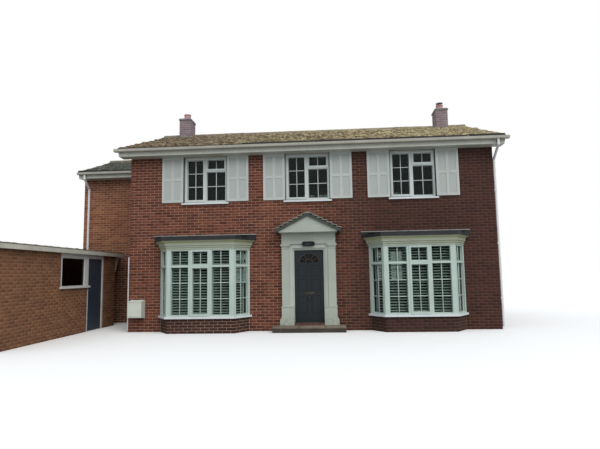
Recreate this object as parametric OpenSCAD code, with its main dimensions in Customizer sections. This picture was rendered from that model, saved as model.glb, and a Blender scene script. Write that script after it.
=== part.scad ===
// Detached brick house with two canted bays, a pedimented doorway, a set-back wing and a flat-roofed garage.
// Millimetres. X runs along the front from left to right, Y from the front to the back, Z up.
// The origin lies at the middle of the main block's footprint, on the ground.

/* [Main block] */
// Length of the front wall, 43.5 bricks less one joint
main_width = 9778; // [9000:1:10600]
// Depth of the main block from front face to back face, 28.5 bricks less one joint
main_depth = 6402; // [6000:1:7200]
// Thickness of the outer walls
wall_t = 280; // [250:1:320]
// Height of the soffit under the eaves, 63 courses
soffit_z = 4725; // [4600:1:4900]
// Height of the ground floor's finished surface
floor_z = 200; // [170:1:215]
// Height of the underside of the first floor
storey_z = 2480; // [2430:1:2620]
// Thickness of the first floor
storey_t = 220; // [180:1:280]

/* [Wing] */
// Length of the wing's front wall
wing_width = 2750; // [2300:1:3400]
// Distance from the main front wall back to the wing's front wall
wing_setback = 2587; // [2400:1:2800]

/* [Roofs] */
// Pitch of all the tiled slopes in degrees
pitch = 20.6; // [19:0.1:24]
// Thickness of the tiled slopes, measured upright
roof_t = 180; // [150:1:200]
// Distance from a wall face out to the edge of the tiles
tile_out = 370; // [350:1:400]
// Thickness of the tiles at their edge
tile_t = 35; // [28:1:35]
// Distance from one course of tiles to the next, measured level
course_l = 325; // [300:1:360]
// Height of the step at the tail of a course
course_step = 22; // [14:1:26]
// Height of the top of the tiles at their edge
tile_edge_z = 4950; // [4940:1:5000]
// Overhang of the main roof past the gable walls
verge_out = 245; // [150:1:280]
// Overhang of the wing roof past its gable wall
wing_verge_out = 58; // [58:1:120]
// Distance from a wall face out to the face of the fascia
fascia_out = 320; // [290:1:330]
// Thickness of the fascia, soffit and verge boards
board_t = 22; // [18:1:28]
// Depth of the verge boards
verge_board_h = 170; // [130:1:178]
// Width of a gutter
gutter_w = 112; // [100:1:125]
// Height of a gutter
gutter_h = 75; // [60:1:80]
// Height of the gutters' top edge
gutter_z = 4915; // [4900:1:4925]
// Length of the gutters past the main roof's verge
gutter_over = 80; // [40:1:130]
// Length of the gutters past the wing's verge
wing_gutter_over = 5; // [0:1:60]
// Thickness of a gutter's wall
gutter_t = 8; // [6:1:10]
// Radius of the ridge tiles
ridge_r = 125; // [110:1:140]

/* [Chimneys] */
// Distance from a gable face to the middle of its stack
stack_in = 560; // [480:1:700]
// Width of a stack along the ridge
stack_w = 385; // [330:1:460]
// Depth of a stack across the ridge
stack_d = 540; // [460:1:580]
// Height of the top of the stacks' crown above the ridge
stack_up = 578; // [520:1:680]
// Height of the crown
crown_h = 75; // [60:1:110]
// Overhang of the crown
crown_out = 18; // [12:1:40]
// Radius of a chimney pot
pot_r = 118; // [105:1:130]
// Height of a chimney pot
pot_h = 165; // [150:1:200]
// Thickness of a pot's wall
pot_t = 24; // [20:1:28]
// Radius of the cowl's disc on the right pot
cowl_r = 118; // [105:1:130]
// Height of the cowl over the pot
cowl_h = 105; // [90:1:130]
// Thickness of the cowl's disc
cowl_t = 22; // [18:1:35]

/* [Upper windows] */
// Distance from the middle of the front to the side windows and bays
side_x = 2800; // [2700:1:2900]
// Width of an upper window
window_w = 1200; // [1150:1:1220]
// Height of the bottom of the upper windows
window_z = 3450; // [3400:1:3500]
// Set-back of the upper frames behind the wall face
window_in = 60; // [40:1:90]
// Depth of the window frames
frame_d = 70; // [60:1:80]
// Width of the frame members
frame_w = 58; // [50:1:64]
// Width of the mullion in an upper window
mullion_w = 68; // [60:1:80]
// Offset of the mullion from the middle of its window
mullion_off = 13; // [8:1:30]
// Height of the transom's middle in an upper window over its bottom
transom_up = 885; // [860:1:910]
// Thickness of the glass sheets
glass_t = 8; // [6:1:12]
// Height of the bottom of the back's lower windows
back_window_z = 1125; // [1050:1:1200]
// Height of a window sill
sill_h = 50; // [40:1:60]
// Projection of a window sill
sill_out = 60; // [45:1:80]
// Overlap of a sill past its window on each side
sill_over = 50; // [30:1:60]
// Width of a shutter
shutter_w = 590; // [560:1:600]
// Gap between a window opening and its shutter
shutter_gap = 8; // [4:1:12]
// Thickness of a shutter's panels
shutter_t = 26; // [22:1:32]
// Height of a shutter's foot over the bottom of its window
shutter_up = 15; // [0:1:30]
// Width of a shutter's stiles and rails
shutter_rail = 62; // [50:1:75]
// Thickness of the stiles and rails in front of the panels
shutter_face = 9; // [6:1:14]

/* [Bays] */
// Width of a bay at the wall
bay_w = 2440; // [2380:1:2500]
// Width of a bay's front
bay_front_w = 1770; // [1750:1:1790]
// Projection of a bay
bay_d = 480; // [440:1:540]
// Height of a bay's brick base
bay_base_h = 375; // [360:1:395]
// Height of a bay's sill
bay_sill_h = 50; // [42:1:60]
// Projection of a bay's sill
bay_sill_out = 45; // [35:1:60]
// Height of the top of a bay's frame
bay_head_z = 2155; // [2130:1:2180]
// Height of the top of a bay's cornice
bay_cornice_z = 2385; // [2360:1:2410]
// Projection of the cornice's top
bay_cornice_out = 125; // [100:1:150]
// Height of the top of a bay's roof at its edge
bay_roof_z = 2490; // [2470:1:2530]
// Projection of a bay's roof
bay_roof_out = 150; // [130:1:180]
// Rise of a bay's roof to the wall
bay_roof_rise = 35; // [30:1:60]
// Height of the flashing above a bay's roof
flashing_h = 40; // [30:1:60]
// Width of a bay's corner posts
bay_post_w = 115; // [105:1:125]
// Width of a bay's mullions
bay_mullion_w = 84; // [76:1:94]
// Half width of a bay's middle light
bay_mid_half = 226; // [212:1:232]
// Height of a bay's transom
bay_transom_z = 1690; // [1660:1:1720]
// Thickness of a bay's transom
bay_transom_h = 50; // [40:1:60]
// Extra width of an opening sash's members inside its light
sash_w = 25; // [18:1:30]
// Projection of an opening sash in front of its frame
sash_out = 14; // [10:1:20]
// Distance of the louvred shutters behind a bay's glass
louvre_in = 40; // [30:1:60]
// Thickness of the louvred shutters
louvre_t = 30; // [24:1:32]
// Width of the louvred shutters' stiles and rails
louvre_stile = 48; // [40:1:55]
// Distance from one louvre to the next
louvre_pitch = 70; // [64:0.5:76]
// Width of a louvre
louvre_w = 62; // [56:1:64]
// Thickness of a louvre
louvre_blade_t = 9; // [8:1:11]
// Slope of the louvres in degrees, down to the room
louvre_tilt = 22; // [12:1:24]

/* [Doorway] */
// Width of the front door
door_w = 800; // [762:1:840]
// Height of the front door
door_h = 1880; // [1850:1:1981]
// Thickness of the front door
door_t = 44; // [40:1:54]
// Gap around the front door
door_gap = 7; // [7:1:9]
// Distance of the door's face behind the wall face
door_in = 50; // [45:1:70]
// Height of the threshold
threshold_z = 225; // [218:1:235]
// Width of the opening in the wall for the door and its frame
door_opening_w = 904; // [880:1:960]
// Width of a pilaster
pilaster_w = 200; // [190:1:220]
// Projection of a pilaster
pilaster_out = 110; // [90:1:130]
// Distance between the pilasters
pilaster_gap = 1020; // [990:1:1050]
// Height of the top of the pilasters' shafts
pilaster_z = 2190; // [2170:1:2220]
// Height of the capitals
capital_h = 70; // [55:1:80]
// Height of the frieze between the capitals and the cornice
frieze_h = 230; // [210:1:250]
// Height of the pilasters' plinths over the step
plinth_h = 490; // [450:1:530]
// Projection of the plinths in front of the shafts
plinth_out = 14; // [10:1:20]
// Height of the flared foot of the plinths
flare_h = 200; // [170:1:220]
// Spread of the flared foot past the shafts
flare_out = 62; // [50:1:70]
// Projection of the door's lining in front of the wall
lining_out = 62; // [50:1:75]
// Depth and width of each step of the lining's moulding
lining_step = 27; // [20:1:32]
// Height of the cornice under the pediment
door_cornice_h = 100; // [85:1:115]
// Projection of the pediment
pediment_out = 340; // [300:1:380]
// Half width of the pediment's white face
pediment_half = 765; // [750:1:800]
// Height of the pediment's white face
pediment_h = 390; // [370:1:420]
// Thickness of the pediment's roof
pediment_roof_t = 70; // [55:1:85]
// Overhang of the pediment's roof
pediment_roof_over = 90; // [70:1:105]
// Half length of the name plaque
plaque_half = 172; // [150:1:180]
// Half height of the name plaque
plaque_r = 62; // [50:1:66]
// Thickness of the name plaque
plaque_t = 30; // [20:1:34]
// Width of a raised panel's border in the front door
panel_border = 30; // [22:1:34]
// Depth of the panels in the front door
panel_in = 10; // [8:1:14]
// Radius of the front door's knob
knob_r = 30; // [25:1:34]
// Width of the doorstep
step_w = 1870; // [1800:1:1950]
// Projection of the doorstep
step_out = 460; // [420:1:520]
// Height of the doorstep
step_h = 150; // [140:1:165]

/* [Meter box] */
// Distance from the main block's left corner to the meter box
meter_in = 78; // [60:1:110]
// Width of the meter box
meter_w = 382; // [350:1:420]
// Depth of the meter box
meter_d = 260; // [230:1:280]
// Height of the foot of the meter box at its front
meter_z = 400; // [380:1:430]
// Height of the meter box at its front
meter_h = 410; // [390:1:440]
// Slope of the meter box's top and foot between its front and the wall
meter_fall = 40; // [25:1:50]
// Radius of the conduit on the left gable
conduit_r = 27; // [20:1:30]
// Height of the top of the conduit
conduit_z = 2000; // [1900:1:2100]

/* [Downpipes] */
// Radius of a downpipe
pipe_r = 34; // [30:1:38]
// Height of a downpipe's straight drop from its gutter
pipe_drop = 140; // [130:1:160]
// Height of the swan neck
pipe_back_z = 300; // [260:1:340]
// Height of a downpipe's foot over the ground
pipe_foot_z = 60; // [40:1:90]
// Distance between the clips of a downpipe
clip_step = 1400; // [1200:1:1500]
// Height of a downpipe's clips
clip_h = 40; // [30:1:50]

/* [Garage] */
// Distance from the main block's left wall to the garage's right wall
garage_gap = 1250; // [1150:1:1350]
// Width of the garage
garage_width = 3000; // [2900:1:3200]
// Length of the garage
garage_length = 5210; // [5150:1:5600]
// Distance from the garage's back wall to the wing
garage_back_gap = 827; // [800:1:870]
// Thickness of the garage's walls
garage_wall_t = 215; // [200:1:230]
// Height of the garage's walls
garage_wall_z = 2110; // [2090:1:2150]
// Thickness of the garage's roof
garage_roof_t = 105; // [90:1:120]
// Overhang of the garage's roof to the face of its fascia
garage_over = 120; // [100:1:140]
// Overhang of the garage's roof past its back wall
garage_back_over = 380; // [380:1:410]
// Distance of the roof's link to the wing from the garage's right wall
garage_link_in = 200; // [150:1:300]
// Height of the garage's fascia
garage_fascia_h = 130; // [125:1:145]
// Width of the garage window's opening
garage_window_w = 1150; // [1100:1:1200]
// Height of the bottom of the garage window
garage_window_z = 1200; // [1150:1:1250]
// Width of the double post between the garage's window and door
garage_post_w = 190; // [160:1:200]
// Width of the other members of the garage frame
garage_frame_w = 60; // [50:1:70]
// Height of the white panel over the garage window
garage_panel_h = 125; // [110:1:140]
// Width of the garage's side door
garage_door_w = 762; // [740:1:800]
// Height of the garage's side door
garage_door_h = 1975; // [1950:1:1985]
// Length of wall between the garage door's frame and the back corner
garage_end_l = 730; // [690:1:770]
// Length of the boarded bracket under the roof behind the garage
bracket_l = 350; // [300:1:350]
// Height of that bracket at the garage wall
bracket_h = 640; // [580:1:700]
// Thickness of that bracket
bracket_t = 25; // [20:1:30]

/* [Hidden] */
$fn = 32;
eps = 1;
seat = 0.1;

slope = tan(pitch);
half_x = main_width / 2;
half_y = main_depth / 2;
front_y = -half_y;
wing_x = -half_x - wing_width;
wing_y = front_y + wing_setback;
wing_mid_y = (wing_y + half_y) / 2;
ridge_z = tile_edge_z + (half_y + tile_out) * slope;
stack_top_z = ridge_z + stack_up;
wing_ridge_z = tile_edge_z + (half_y - wing_mid_y + tile_out) * slope;
wall_top_z = tile_edge_z - roof_t + tile_out * slope - seat;
window_h = soffit_z - window_z;
verge_x = half_x + verge_out;
wing_verge_x = wing_x - wing_verge_out;
bay_light_z0 = bay_base_h + bay_sill_h + frame_w * 0.7;
bay_light_z1 = bay_head_z - frame_w * 0.6;
bay_cant_x = (bay_w - bay_front_w) / 2;
bay_cant_a = atan2(bay_d, bay_cant_x);
bay_cant_l = sqrt(bay_cant_x * bay_cant_x + bay_d * bay_d);
door_bottom_z = threshold_z + door_gap + 1;
door_top_z = door_bottom_z + door_h;
stop_lap = 12;
hinge_r = 8;
hinge_h = 45;
hinge_in = 4;
hinge_gap = 0.3;
jamb_top_z = door_top_z + door_gap;
opening_top_z = jamb_top_z + (door_opening_w - door_w) / 2 - door_gap;
capital_z = pilaster_z + capital_h;
cornice_z = capital_z + frieze_h;
pediment_z = cornice_z + door_cornice_h;
pediment_slope = pediment_h / pediment_half;
frieze_half = pilaster_gap / 2 + pilaster_w;
garage_x = -half_x - garage_gap;
garage_x0 = garage_x - garage_width;
garage_back_y = wing_y - garage_back_gap;
garage_front_y = garage_back_y - garage_length;
garage_door_y1 = garage_back_y - garage_end_l;
garage_leaf_y1 = garage_door_y1 - garage_frame_w - door_gap;
garage_leaf_y0 = garage_leaf_y1 - garage_door_w;
garage_door_y0 = garage_leaf_y0 - door_gap;
garage_window_y1 = garage_door_y0 - garage_post_w;
garage_window_y0 = garage_window_y1 - garage_window_w + garage_frame_w;
garage_leaf_z = 15;
garage_leaf_x = garage_x - 20;
garage_head_z = garage_leaf_z + garage_door_h + door_gap;
garage_hinges = [for (k = [0.1, 0.5, 0.88]) garage_leaf_z + garage_door_h * k];
plinth_in = door_w / 2 - stop_lap + 6;
elbow_r = pipe_r * 1.2;
pipe_off = elbow_r + 5;
verge_notch_y = (ridge_z - roof_t - wing_ridge_z + wing_mid_y * slope) / (2 * slope) - eps;

// A bar along X with the given outline in Y and Z.
module bar_x(x0, x1, outline) {
    translate([x0, 0, 0]) rotate([90, 0, 90]) linear_extrude(x1 - x0) polygon(outline);
}

// A plate along Y with the given outline in X and Z.
module plate_y(y0, y1, outline) {
    translate([0, y1, 0]) rotate([90, 0, 0]) linear_extrude(y1 - y0) polygon(outline);
}

// A box between two corners.
module box(a, b) {
    translate(a) cube([b[0] - a[0], b[1] - a[1], b[2] - a[2]]);
}

function rect(u0, v0, u1, v1) = [[u0, v0], [u1, v0], [u1, v1], [u0, v1]];

// Height of a wall's top under the main roof over a line in Y.
function under_z(y) = ridge_z - roof_t - seat - abs(y) * slope;

// Height of a wall's top under the wing roof over a line in Y.
function wing_under_z(y) = wing_ridge_z - roof_t - seat - abs(y - wing_mid_y) * slope;

// A quarter hollow from one point of a profile to another, level at its end.
function hollow(p0, p1) = [for (a = [0:15:90]) [p0[0] + (p1[0] - p0[0]) * (1 - cos(a)),
    p0[1] + (p1[1] - p0[1]) * sin(a)]];

// A profile mirrored to the other side, in reverse order, so that the two close an outline.
function both_sides(p) = concat(p, [for (i = [len(p) - 1:-1:0]) [-p[i][0], p[i][1]]]);

module ground_floor() {
    color("gray") {
        box([-half_x + wall_t, front_y + wall_t, 0], [half_x - wall_t, half_y - wall_t, floor_z]);
        box([wing_x + wall_t, wing_y + wall_t, 0], [-half_x, half_y - wall_t, floor_z]);
    }
}

module first_floor() {
    color("burlywood") {
        box([-half_x + wall_t, front_y + wall_t, storey_z],
            [half_x - wall_t, half_y - wall_t, storey_z + storey_t]);
        box([wing_x + wall_t, wing_y + wall_t, storey_z], [-half_x, half_y - wall_t, storey_z + storey_t]);
    }
}

// The front wall between two lines in X, its top following the slope.
module front_slab(x0, x1, z0) {
    bar_x(x0, x1, [[front_y, z0], [front_y + wall_t, z0],
        [front_y + wall_t, under_z(front_y + wall_t)], [front_y, under_z(front_y)]]);
}

module window_hole(x) {
    box([x - window_w / 2, front_y - eps, window_z], [x + window_w / 2, front_y + wall_t + eps, soffit_z]);
}

module bay_hole(x) {
    box([x - bay_w / 2 + frame_d + eps, front_y - eps, bay_base_h + bay_sill_h],
        [x + bay_w / 2 - frame_d - eps, front_y + wall_t + eps, bay_head_z]);
}

module front_wall_left() {
    color("firebrick") difference() {
        front_slab(-half_x, -door_opening_w / 2, 0);
        window_hole(-side_x);
        box([-window_w / 2, front_y - eps, window_z], [0, front_y + wall_t + eps, soffit_z]);
        bay_hole(-side_x);
    }
}

module front_wall_right() {
    color("firebrick") difference() {
        front_slab(door_opening_w / 2, half_x, 0);
        window_hole(side_x);
        box([0, front_y - eps, window_z], [window_w / 2, front_y + wall_t + eps, soffit_z]);
        bay_hole(side_x);
    }
}

module front_wall_over_door() {
    color("firebrick") difference() {
        front_slab(-door_opening_w / 2, door_opening_w / 2, opening_top_z);
        window_hole(0);
    }
}

module back_wall() {
    color("firebrick") difference() {
        bar_x(wing_x, half_x, [[half_y - wall_t, 0], [half_y, 0], [half_y, under_z(half_y)],
            [half_y - wall_t, under_z(half_y - wall_t)]]);
        to_back() for (w = back_windows())
            box([w[0] - window_w / 2, front_y - eps, w[1]],
                [w[0] + window_w / 2, front_y + wall_t + eps, w[1] + window_h]);
    }
}

// The outline of a main gable wall between the front and the back wall.
function gable_outline() = [[front_y + wall_t, 0], [half_y - wall_t, 0],
    [half_y - wall_t, under_z(half_y - wall_t)], [0, under_z(0)], [front_y + wall_t, under_z(front_y + wall_t)]];

module left_gable_wall() {
    color("firebrick") difference() {
        bar_x(-half_x, -half_x + wall_t, gable_outline());
        box([-half_x - eps, wing_y + wall_t, -eps], [-half_x + wall_t + eps, half_y - wall_t + eps, storey_z]);
        box([-half_x - eps, wing_y + wall_t, storey_z + storey_t],
            [-half_x + wall_t + eps, half_y - wall_t + eps, soffit_z]);
    }
}

module right_gable_wall() {
    color("firebrick") bar_x(half_x - wall_t, half_x, gable_outline());
}

module wing_front_wall() {
    color("firebrick") bar_x(wing_x, -half_x, [[wing_y, 0], [wing_y + wall_t, 0],
        [wing_y + wall_t, wing_under_z(wing_y + wall_t)], [wing_y, wing_under_z(wing_y)]]);
}

module wing_side_wall() {
    color("firebrick") bar_x(wing_x, wing_x + wall_t, [[wing_y + wall_t, 0], [half_y - wall_t, 0],
        [half_y - wall_t, wing_under_z(half_y - wall_t)], [wing_mid_y, wing_under_z(wing_mid_y)],
        [wing_y + wall_t, wing_under_z(wing_y + wall_t)]]);
}

// One slope from the ridge line down to an eaves line in stepped courses, with only the tiles over the fascia.
module roof_slope(x0, x1, ridge_y, top_z, eaves_y) {
    s = eaves_y < ridge_y ? -1 : 1;
    back_y = eaves_y - s * (tile_out - fascia_out + board_t);
    run = abs(eaves_y - ridge_y);
    back_z = top_z - abs(back_y - ridge_y) * slope;
    n = round(run / course_l);
    tails = [for (i = [1:n - 1], h = [0, course_step])
        [ridge_y + s * run * i / n, top_z - run * i / n * slope - h]];
    bar_x(x0, x1, concat([[ridge_y, top_z - roof_t], [ridge_y, top_z]], tails, [[eaves_y, top_z - run * slope],
        [eaves_y, top_z - run * slope - tile_t], [back_y, back_z - tile_t], [back_y, back_z - roof_t]]));
}

module main_roof_front() {
    color("olive") roof_slope(-verge_x, verge_x, 0, ridge_z, front_y - tile_out);
}

module main_roof_back() {
    color("olive") difference() {
        roof_slope(-verge_x, verge_x, 0, ridge_z, half_y + tile_out);
        box([-verge_x - eps, verge_notch_y, 0], [-half_x, half_y + tile_out + eps, ridge_z]);
    }
}

module wing_roof_front() {
    color("olive") roof_slope(wing_verge_x, -half_x, wing_mid_y, wing_ridge_z, wing_y - tile_out);
}

module wing_roof_back() {
    color("olive") roof_slope(wing_verge_x, -half_x, wing_mid_y, wing_ridge_z, half_y + tile_out);
}

// A run of half-round ridge tiles bedded on the two slopes.
module ridge_run(x0, x1, mid_y, top_z) {
    bed = ridge_r * cos(pitch);
    z = top_z + seat;
    bar_x(x0, x1, concat([[mid_y, z], [mid_y + bed, z - bed * slope]],
        [for (a = [0:18:180]) [mid_y + ridge_r * cos(a), z - bed * slope + ridge_r * (0.1 + 0.85 * sin(a))]],
        [[mid_y - bed, z - bed * slope]]));
}

module ridge_tiles() {
    color("saddlebrown") {
        ridge_run(-verge_x, -half_x + stack_in - stack_w / 2, 0, ridge_z);
        ridge_run(-half_x + stack_in + stack_w / 2, half_x - stack_in - stack_w / 2, 0, ridge_z);
        ridge_run(half_x - stack_in + stack_w / 2, verge_x, 0, ridge_z);
        ridge_run(wing_verge_x, -half_x, wing_mid_y, wing_ridge_z);
    }
}

// The boxed eaves in front of a wall: fascia, soffit and an end board at each end.
module eaves_box(x0, x1, face_y, out) {
    s = out < 0 ? -1 : 1;
    far_y = face_y + out;
    in_y = far_y - s * board_t;
    far_z = tile_edge_z - tile_t - seat + (tile_out - abs(out)) * slope;
    in_z = far_z + board_t * slope;
    bar_x(x0, x1, [[face_y, soffit_z], [far_y, soffit_z], [far_y, far_z], [in_y, in_z],
        [in_y, soffit_z + board_t], [face_y, soffit_z + board_t]]);
    for (x = [x0, x1 - board_t])
        bar_x(x, x + board_t, [[face_y, soffit_z], [far_y, soffit_z], [far_y, far_z], [in_y, in_z],
            [in_y, in_z + tile_t - roof_t], [face_y, wall_top_z]]);
}

// A pair of verge boards under a gable's overhang.
module verge_boards(x, mid_y, top_z, y0, y1) {
    t = top_z - roof_t - seat;
    foot = t - verge_board_h + roof_t / 2;
    bar_x(x, x + board_t, [[mid_y, t], [y0, t - abs(y0 - mid_y) * slope], [y0, foot - abs(y0 - mid_y) * slope],
        [mid_y, foot], [y1, foot - abs(y1 - mid_y) * slope], [y1, t - abs(y1 - mid_y) * slope]]);
}

module eaves_boards() {
    color("gainsboro") {
        eaves_box(-verge_x + board_t, verge_x - board_t, front_y, -fascia_out);
        eaves_box(wing_verge_x + board_t, verge_x - board_t, half_y, fascia_out);
        eaves_box(wing_verge_x + board_t, -half_x, wing_y, -fascia_out);
        verge_boards(verge_x - board_t * 2, 0, ridge_z, front_y, half_y);
        verge_boards(-verge_x + board_t, 0, ridge_z, front_y, wing_mid_y - ridge_r * 4);
        verge_boards(wing_verge_x + board_t, wing_mid_y, wing_ridge_z, wing_y, half_y);
    }
}

// A square-bottomed gutter with stop ends, fixed to a fascia.
module gutter(x0, x1, face_y, s) {
    z0 = gutter_z - gutter_h;
    f = face_y;
    g = face_y + s * gutter_w;
    bar_x(x0, x1, [[f, gutter_z - gutter_t * 2], [f, z0], [g - s * gutter_t, z0], [g, z0 + gutter_t * 2],
        [g, gutter_z], [g - s * gutter_t, gutter_z], [g - s * gutter_t, z0 + gutter_t * 2],
        [g - s * gutter_t * 2, z0 + gutter_t], [f + s * gutter_t, z0 + gutter_t],
        [f + s * gutter_t, gutter_z - gutter_t * 2]]);
    for (x = [x0, x1 - gutter_t])
        bar_x(x, x + gutter_t, [[f, z0], [g - s * gutter_t, z0], [g, z0 + gutter_t * 2], [g, gutter_z],
            [f, gutter_z - gutter_t * 2]]);
}

module gutters() {
    color("gainsboro") {
        gutter(-verge_x - gutter_over, verge_x + gutter_over, front_y - fascia_out, -1);
        gutter(wing_verge_x - wing_gutter_over, verge_x + gutter_over, half_y + fascia_out, 1);
        gutter(wing_verge_x - wing_gutter_over, -half_x, wing_y - fascia_out, -1);
    }
}

// A rod between two points, for pipes.
module rod(a, b, r) {
    d = b - a;
    l = norm(d);
    translate(a) rotate([0, acos(d[2] / l), atan2(d[1], d[0])]) cylinder(r = r, h = l);
}

// A clip from a pipe's middle to the wall that lies at angle a from it.
module clip(a) {
    cylinder(r = pipe_r * 1.12, h = clip_h);
    rotate([0, 0, a]) translate([0, -pipe_r, 0]) cube([pipe_off, pipe_r * 2, clip_h]);
}

// A round downpipe with a swan neck from a gutter to the line (x, y) by a wall that lies at angle a from it.
module downpipe(top_x, top_y, x, y, a, foot_z) {
    z0 = gutter_z - gutter_h;
    p = [top_x, top_y, z0 - pipe_drop];
    q = [x, y, z0 - pipe_drop - pipe_back_z];
    union() {
        rod([top_x, top_y, z0], p, pipe_r);
        translate(p) sphere(r = elbow_r);
        rod(p, q, pipe_r);
        translate(q) sphere(r = elbow_r);
        rod(q, [x, y, foot_z], pipe_r);
        for (z = [foot_z + clip_step / 2:clip_step:q[2] - clip_h]) translate([x, y, z]) clip(a);
    }
}

module downpipes() {
    g = fascia_out + gutter_w / 2;
    wing_pipe_x = wing_x + 180;
    color("white") {
        downpipe(wing_pipe_x, wing_y - g, wing_pipe_x, wing_y - pipe_off, 90, garage_wall_z + garage_roof_t);
        downpipe(half_x + pipe_off, front_y - g, half_x + pipe_off, front_y + pipe_off, 180, pipe_foot_z);
        downpipe(half_x - pipe_off, half_y + g, half_x - pipe_off, half_y + pipe_off, -90, pipe_foot_z);
        translate([-half_x - conduit_r - seat, front_y + conduit_r * 1.5, pipe_foot_z / 2])
            cylinder(r = conduit_r, h = conduit_z - pipe_foot_z / 2);
    }
}

module stack(x) {
    w = stack_w / 2;
    y = stack_d / 2;
    o = crown_out;
    crown_z = stack_top_z - crown_h;
    union() {
        bar_x(x - w, x + w, [[-y, ridge_z + seat - y * slope], [0, ridge_z + seat],
            [y, ridge_z + seat - y * slope], [y, crown_z], [-y, crown_z]]);
        box([x - w - o, -y - o, crown_z], [x + w + o, y + o, stack_top_z - crown_h * 0.25]);
        box([x - w, -y, stack_top_z - crown_h * 0.25], [x + w, y, stack_top_z]);
    }
}

module chimney_stacks() {
    color("rosybrown") {
        stack(-half_x + stack_in);
        stack(half_x - stack_in);
    }
}

module pot(x) {
    translate([x, 0, stack_top_z]) rotate_extrude() polygon([[pot_r - pot_t, 0], [pot_r, 0],
        [pot_r * 0.9, pot_h * 0.75], [pot_r * 1.02, pot_h * 0.8], [pot_r * 1.02, pot_h],
        [pot_r * 0.9 - pot_t, pot_h], [pot_r * 0.9 - pot_t, pot_h * 0.75]]);
}

module chimney_pots() {
    color("sienna") {
        pot(-half_x + stack_in);
        pot(half_x - stack_in);
    }
}

module chimney_cowl() {
    z = stack_top_z + pot_h;
    r = pot_r * 0.9 - pot_t;
    color("slategray") translate([half_x - stack_in, 0, 0]) union() {
        translate([0, 0, z - pot_h * 0.2]) cylinder(r = r, h = pot_h * 0.12);
        translate([0, 0, z - pot_h * 0.1]) cylinder(r = r * 0.25, h = pot_h * 0.1 + cowl_h - cowl_t);
        translate([0, 0, z + cowl_h - cowl_t]) cylinder(r1 = cowl_r, r2 = cowl_r * 0.8, h = cowl_t);
    }
}

// The sides of an upper window's lights: its casement, and its fixed light with the fanlight over it.
function light_x(x) = [[x - window_w / 2 + frame_w, x - mullion_off - mullion_w / 2],
    [x - mullion_off + mullion_w / 2, x + window_w / 2 - frame_w]];

// An opening sash: a ring in front of its light, reaching into it.
module sash(a, b) {
    o = sash_w;
    difference() {
        box([a[0] - o, a[1] - sash_out, a[2] - o], [b[0] + o, a[1] + eps, b[2] + o]);
        box([a[0] + o, a[1] - sash_out - eps, a[2] + o], [b[0] - o, a[1] + 2 * eps, b[2] - o]);
    }
}

// A window frame with a casement and, beside it, a fanlight over a fixed light.
module window_frame(x, z0, h) {
    y0 = front_y + window_in;
    l = light_x(x);
    t = transom_up * h / window_h;
    z = [z0 + frame_w, z0 + t - frame_w / 2, z0 + t + frame_w / 2, z0 + h - frame_w];
    sashes = [[l[0], z[0], z[3]], [l[1], z[2], z[3]]];
    union() {
        difference() {
            box([x - window_w / 2, y0, z0], [x + window_w / 2, y0 + frame_d, z0 + h]);
            box([l[1][0], y0 - eps, z[0]], [l[1][1], y0 + frame_d + eps, z[1]]);
            for (s = sashes)
                box([s[0][0] + sash_w, y0 - eps, s[1] + sash_w],
                    [s[0][1] - sash_w, y0 + frame_d + eps, s[2] - sash_w]);
        }
        for (s = sashes) sash([s[0][0], y0, s[1]], [s[0][1], y0, s[2]]);
    }
}

// Turns a piece of the front round to the back.
module to_back() {
    rotate([0, 0, 180]) children();
}

function back_windows() = [for (x = [-side_x, 0, side_x]) [x, window_z], for (x = [-side_x, side_x])
    [x, back_window_z]];

module window_frames() {
    color("whitesmoke") {
        for (x = [-side_x, 0, side_x]) window_frame(x, window_z, window_h);
        to_back() for (w = back_windows()) window_frame(w[0], w[1], window_h);
    }
}

module garage_pane() {
    y = garage_window_y0;
    box([garage_x - frame_d * 0.6, y, garage_window_z + sill_h],
        [garage_x - frame_d * 0.6 + glass_t, garage_window_y1, garage_wall_z - garage_panel_h]);
}

// The glass sheet behind a window frame.
module window_sheet(x, z0, h) {
    y = front_y + window_in + frame_d;
    m = frame_w / 2;
    box([x - window_w / 2 + m, y, z0 + m], [x + window_w / 2 - m, y + glass_t, z0 + h - m]);
}

module window_glass() {
    color("lightblue", 0.4) {
        for (x = [-side_x, 0, side_x]) window_sheet(x, window_z, window_h);
        to_back() for (w = back_windows()) window_sheet(w[0], w[1], window_h);
        garage_pane();
    }
}

// A window sill, its top falling outwards.
module window_sill(x, z) {
    w = window_w / 2 + sill_over;
    bar_x(x - w, x + w, [[front_y, z - sill_h], [front_y - sill_out, z - sill_h],
        [front_y - sill_out, z - sill_h * 0.2], [front_y, z]]);
}

module window_sills() {
    color("whitesmoke") {
        for (x = [-side_x, 0, side_x]) window_sill(x, window_z);
        to_back() for (w = back_windows()) window_sill(w[0], w[1]);
        for (x = [-side_x, side_x]) bay_slab(x, bay_base_h, bay_sill_h, bay_sill_out);
    }
}

// One panelled shutter with its foot at the given height.
module shutter(x0) {
    z0 = window_z + shutter_up;
    z1 = soffit_z;
    r = shutter_rail;
    mid_z = (z0 + z1) / 2;
    mid_x = x0 + shutter_w / 2;
    y0 = front_y - shutter_t;
    difference() {
        box([x0, y0 - shutter_face, z0], [x0 + shutter_w, front_y, z1]);
        for (x = [x0 + r, mid_x + r / 2], z = [z0 + r, mid_z + r / 2])
            box([x, y0 - shutter_face - eps, z],
                [x + shutter_w / 2 - r * 1.5, y0, z + (z1 - z0) / 2 - r * 1.5]);
    }
}

module shutters() {
    d = window_w / 2 + shutter_gap;
    color("lightgray") for (x = [-side_x, 0, side_x]) {
        shutter(x - d - shutter_w);
        shutter(x + d);
    }
}

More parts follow.
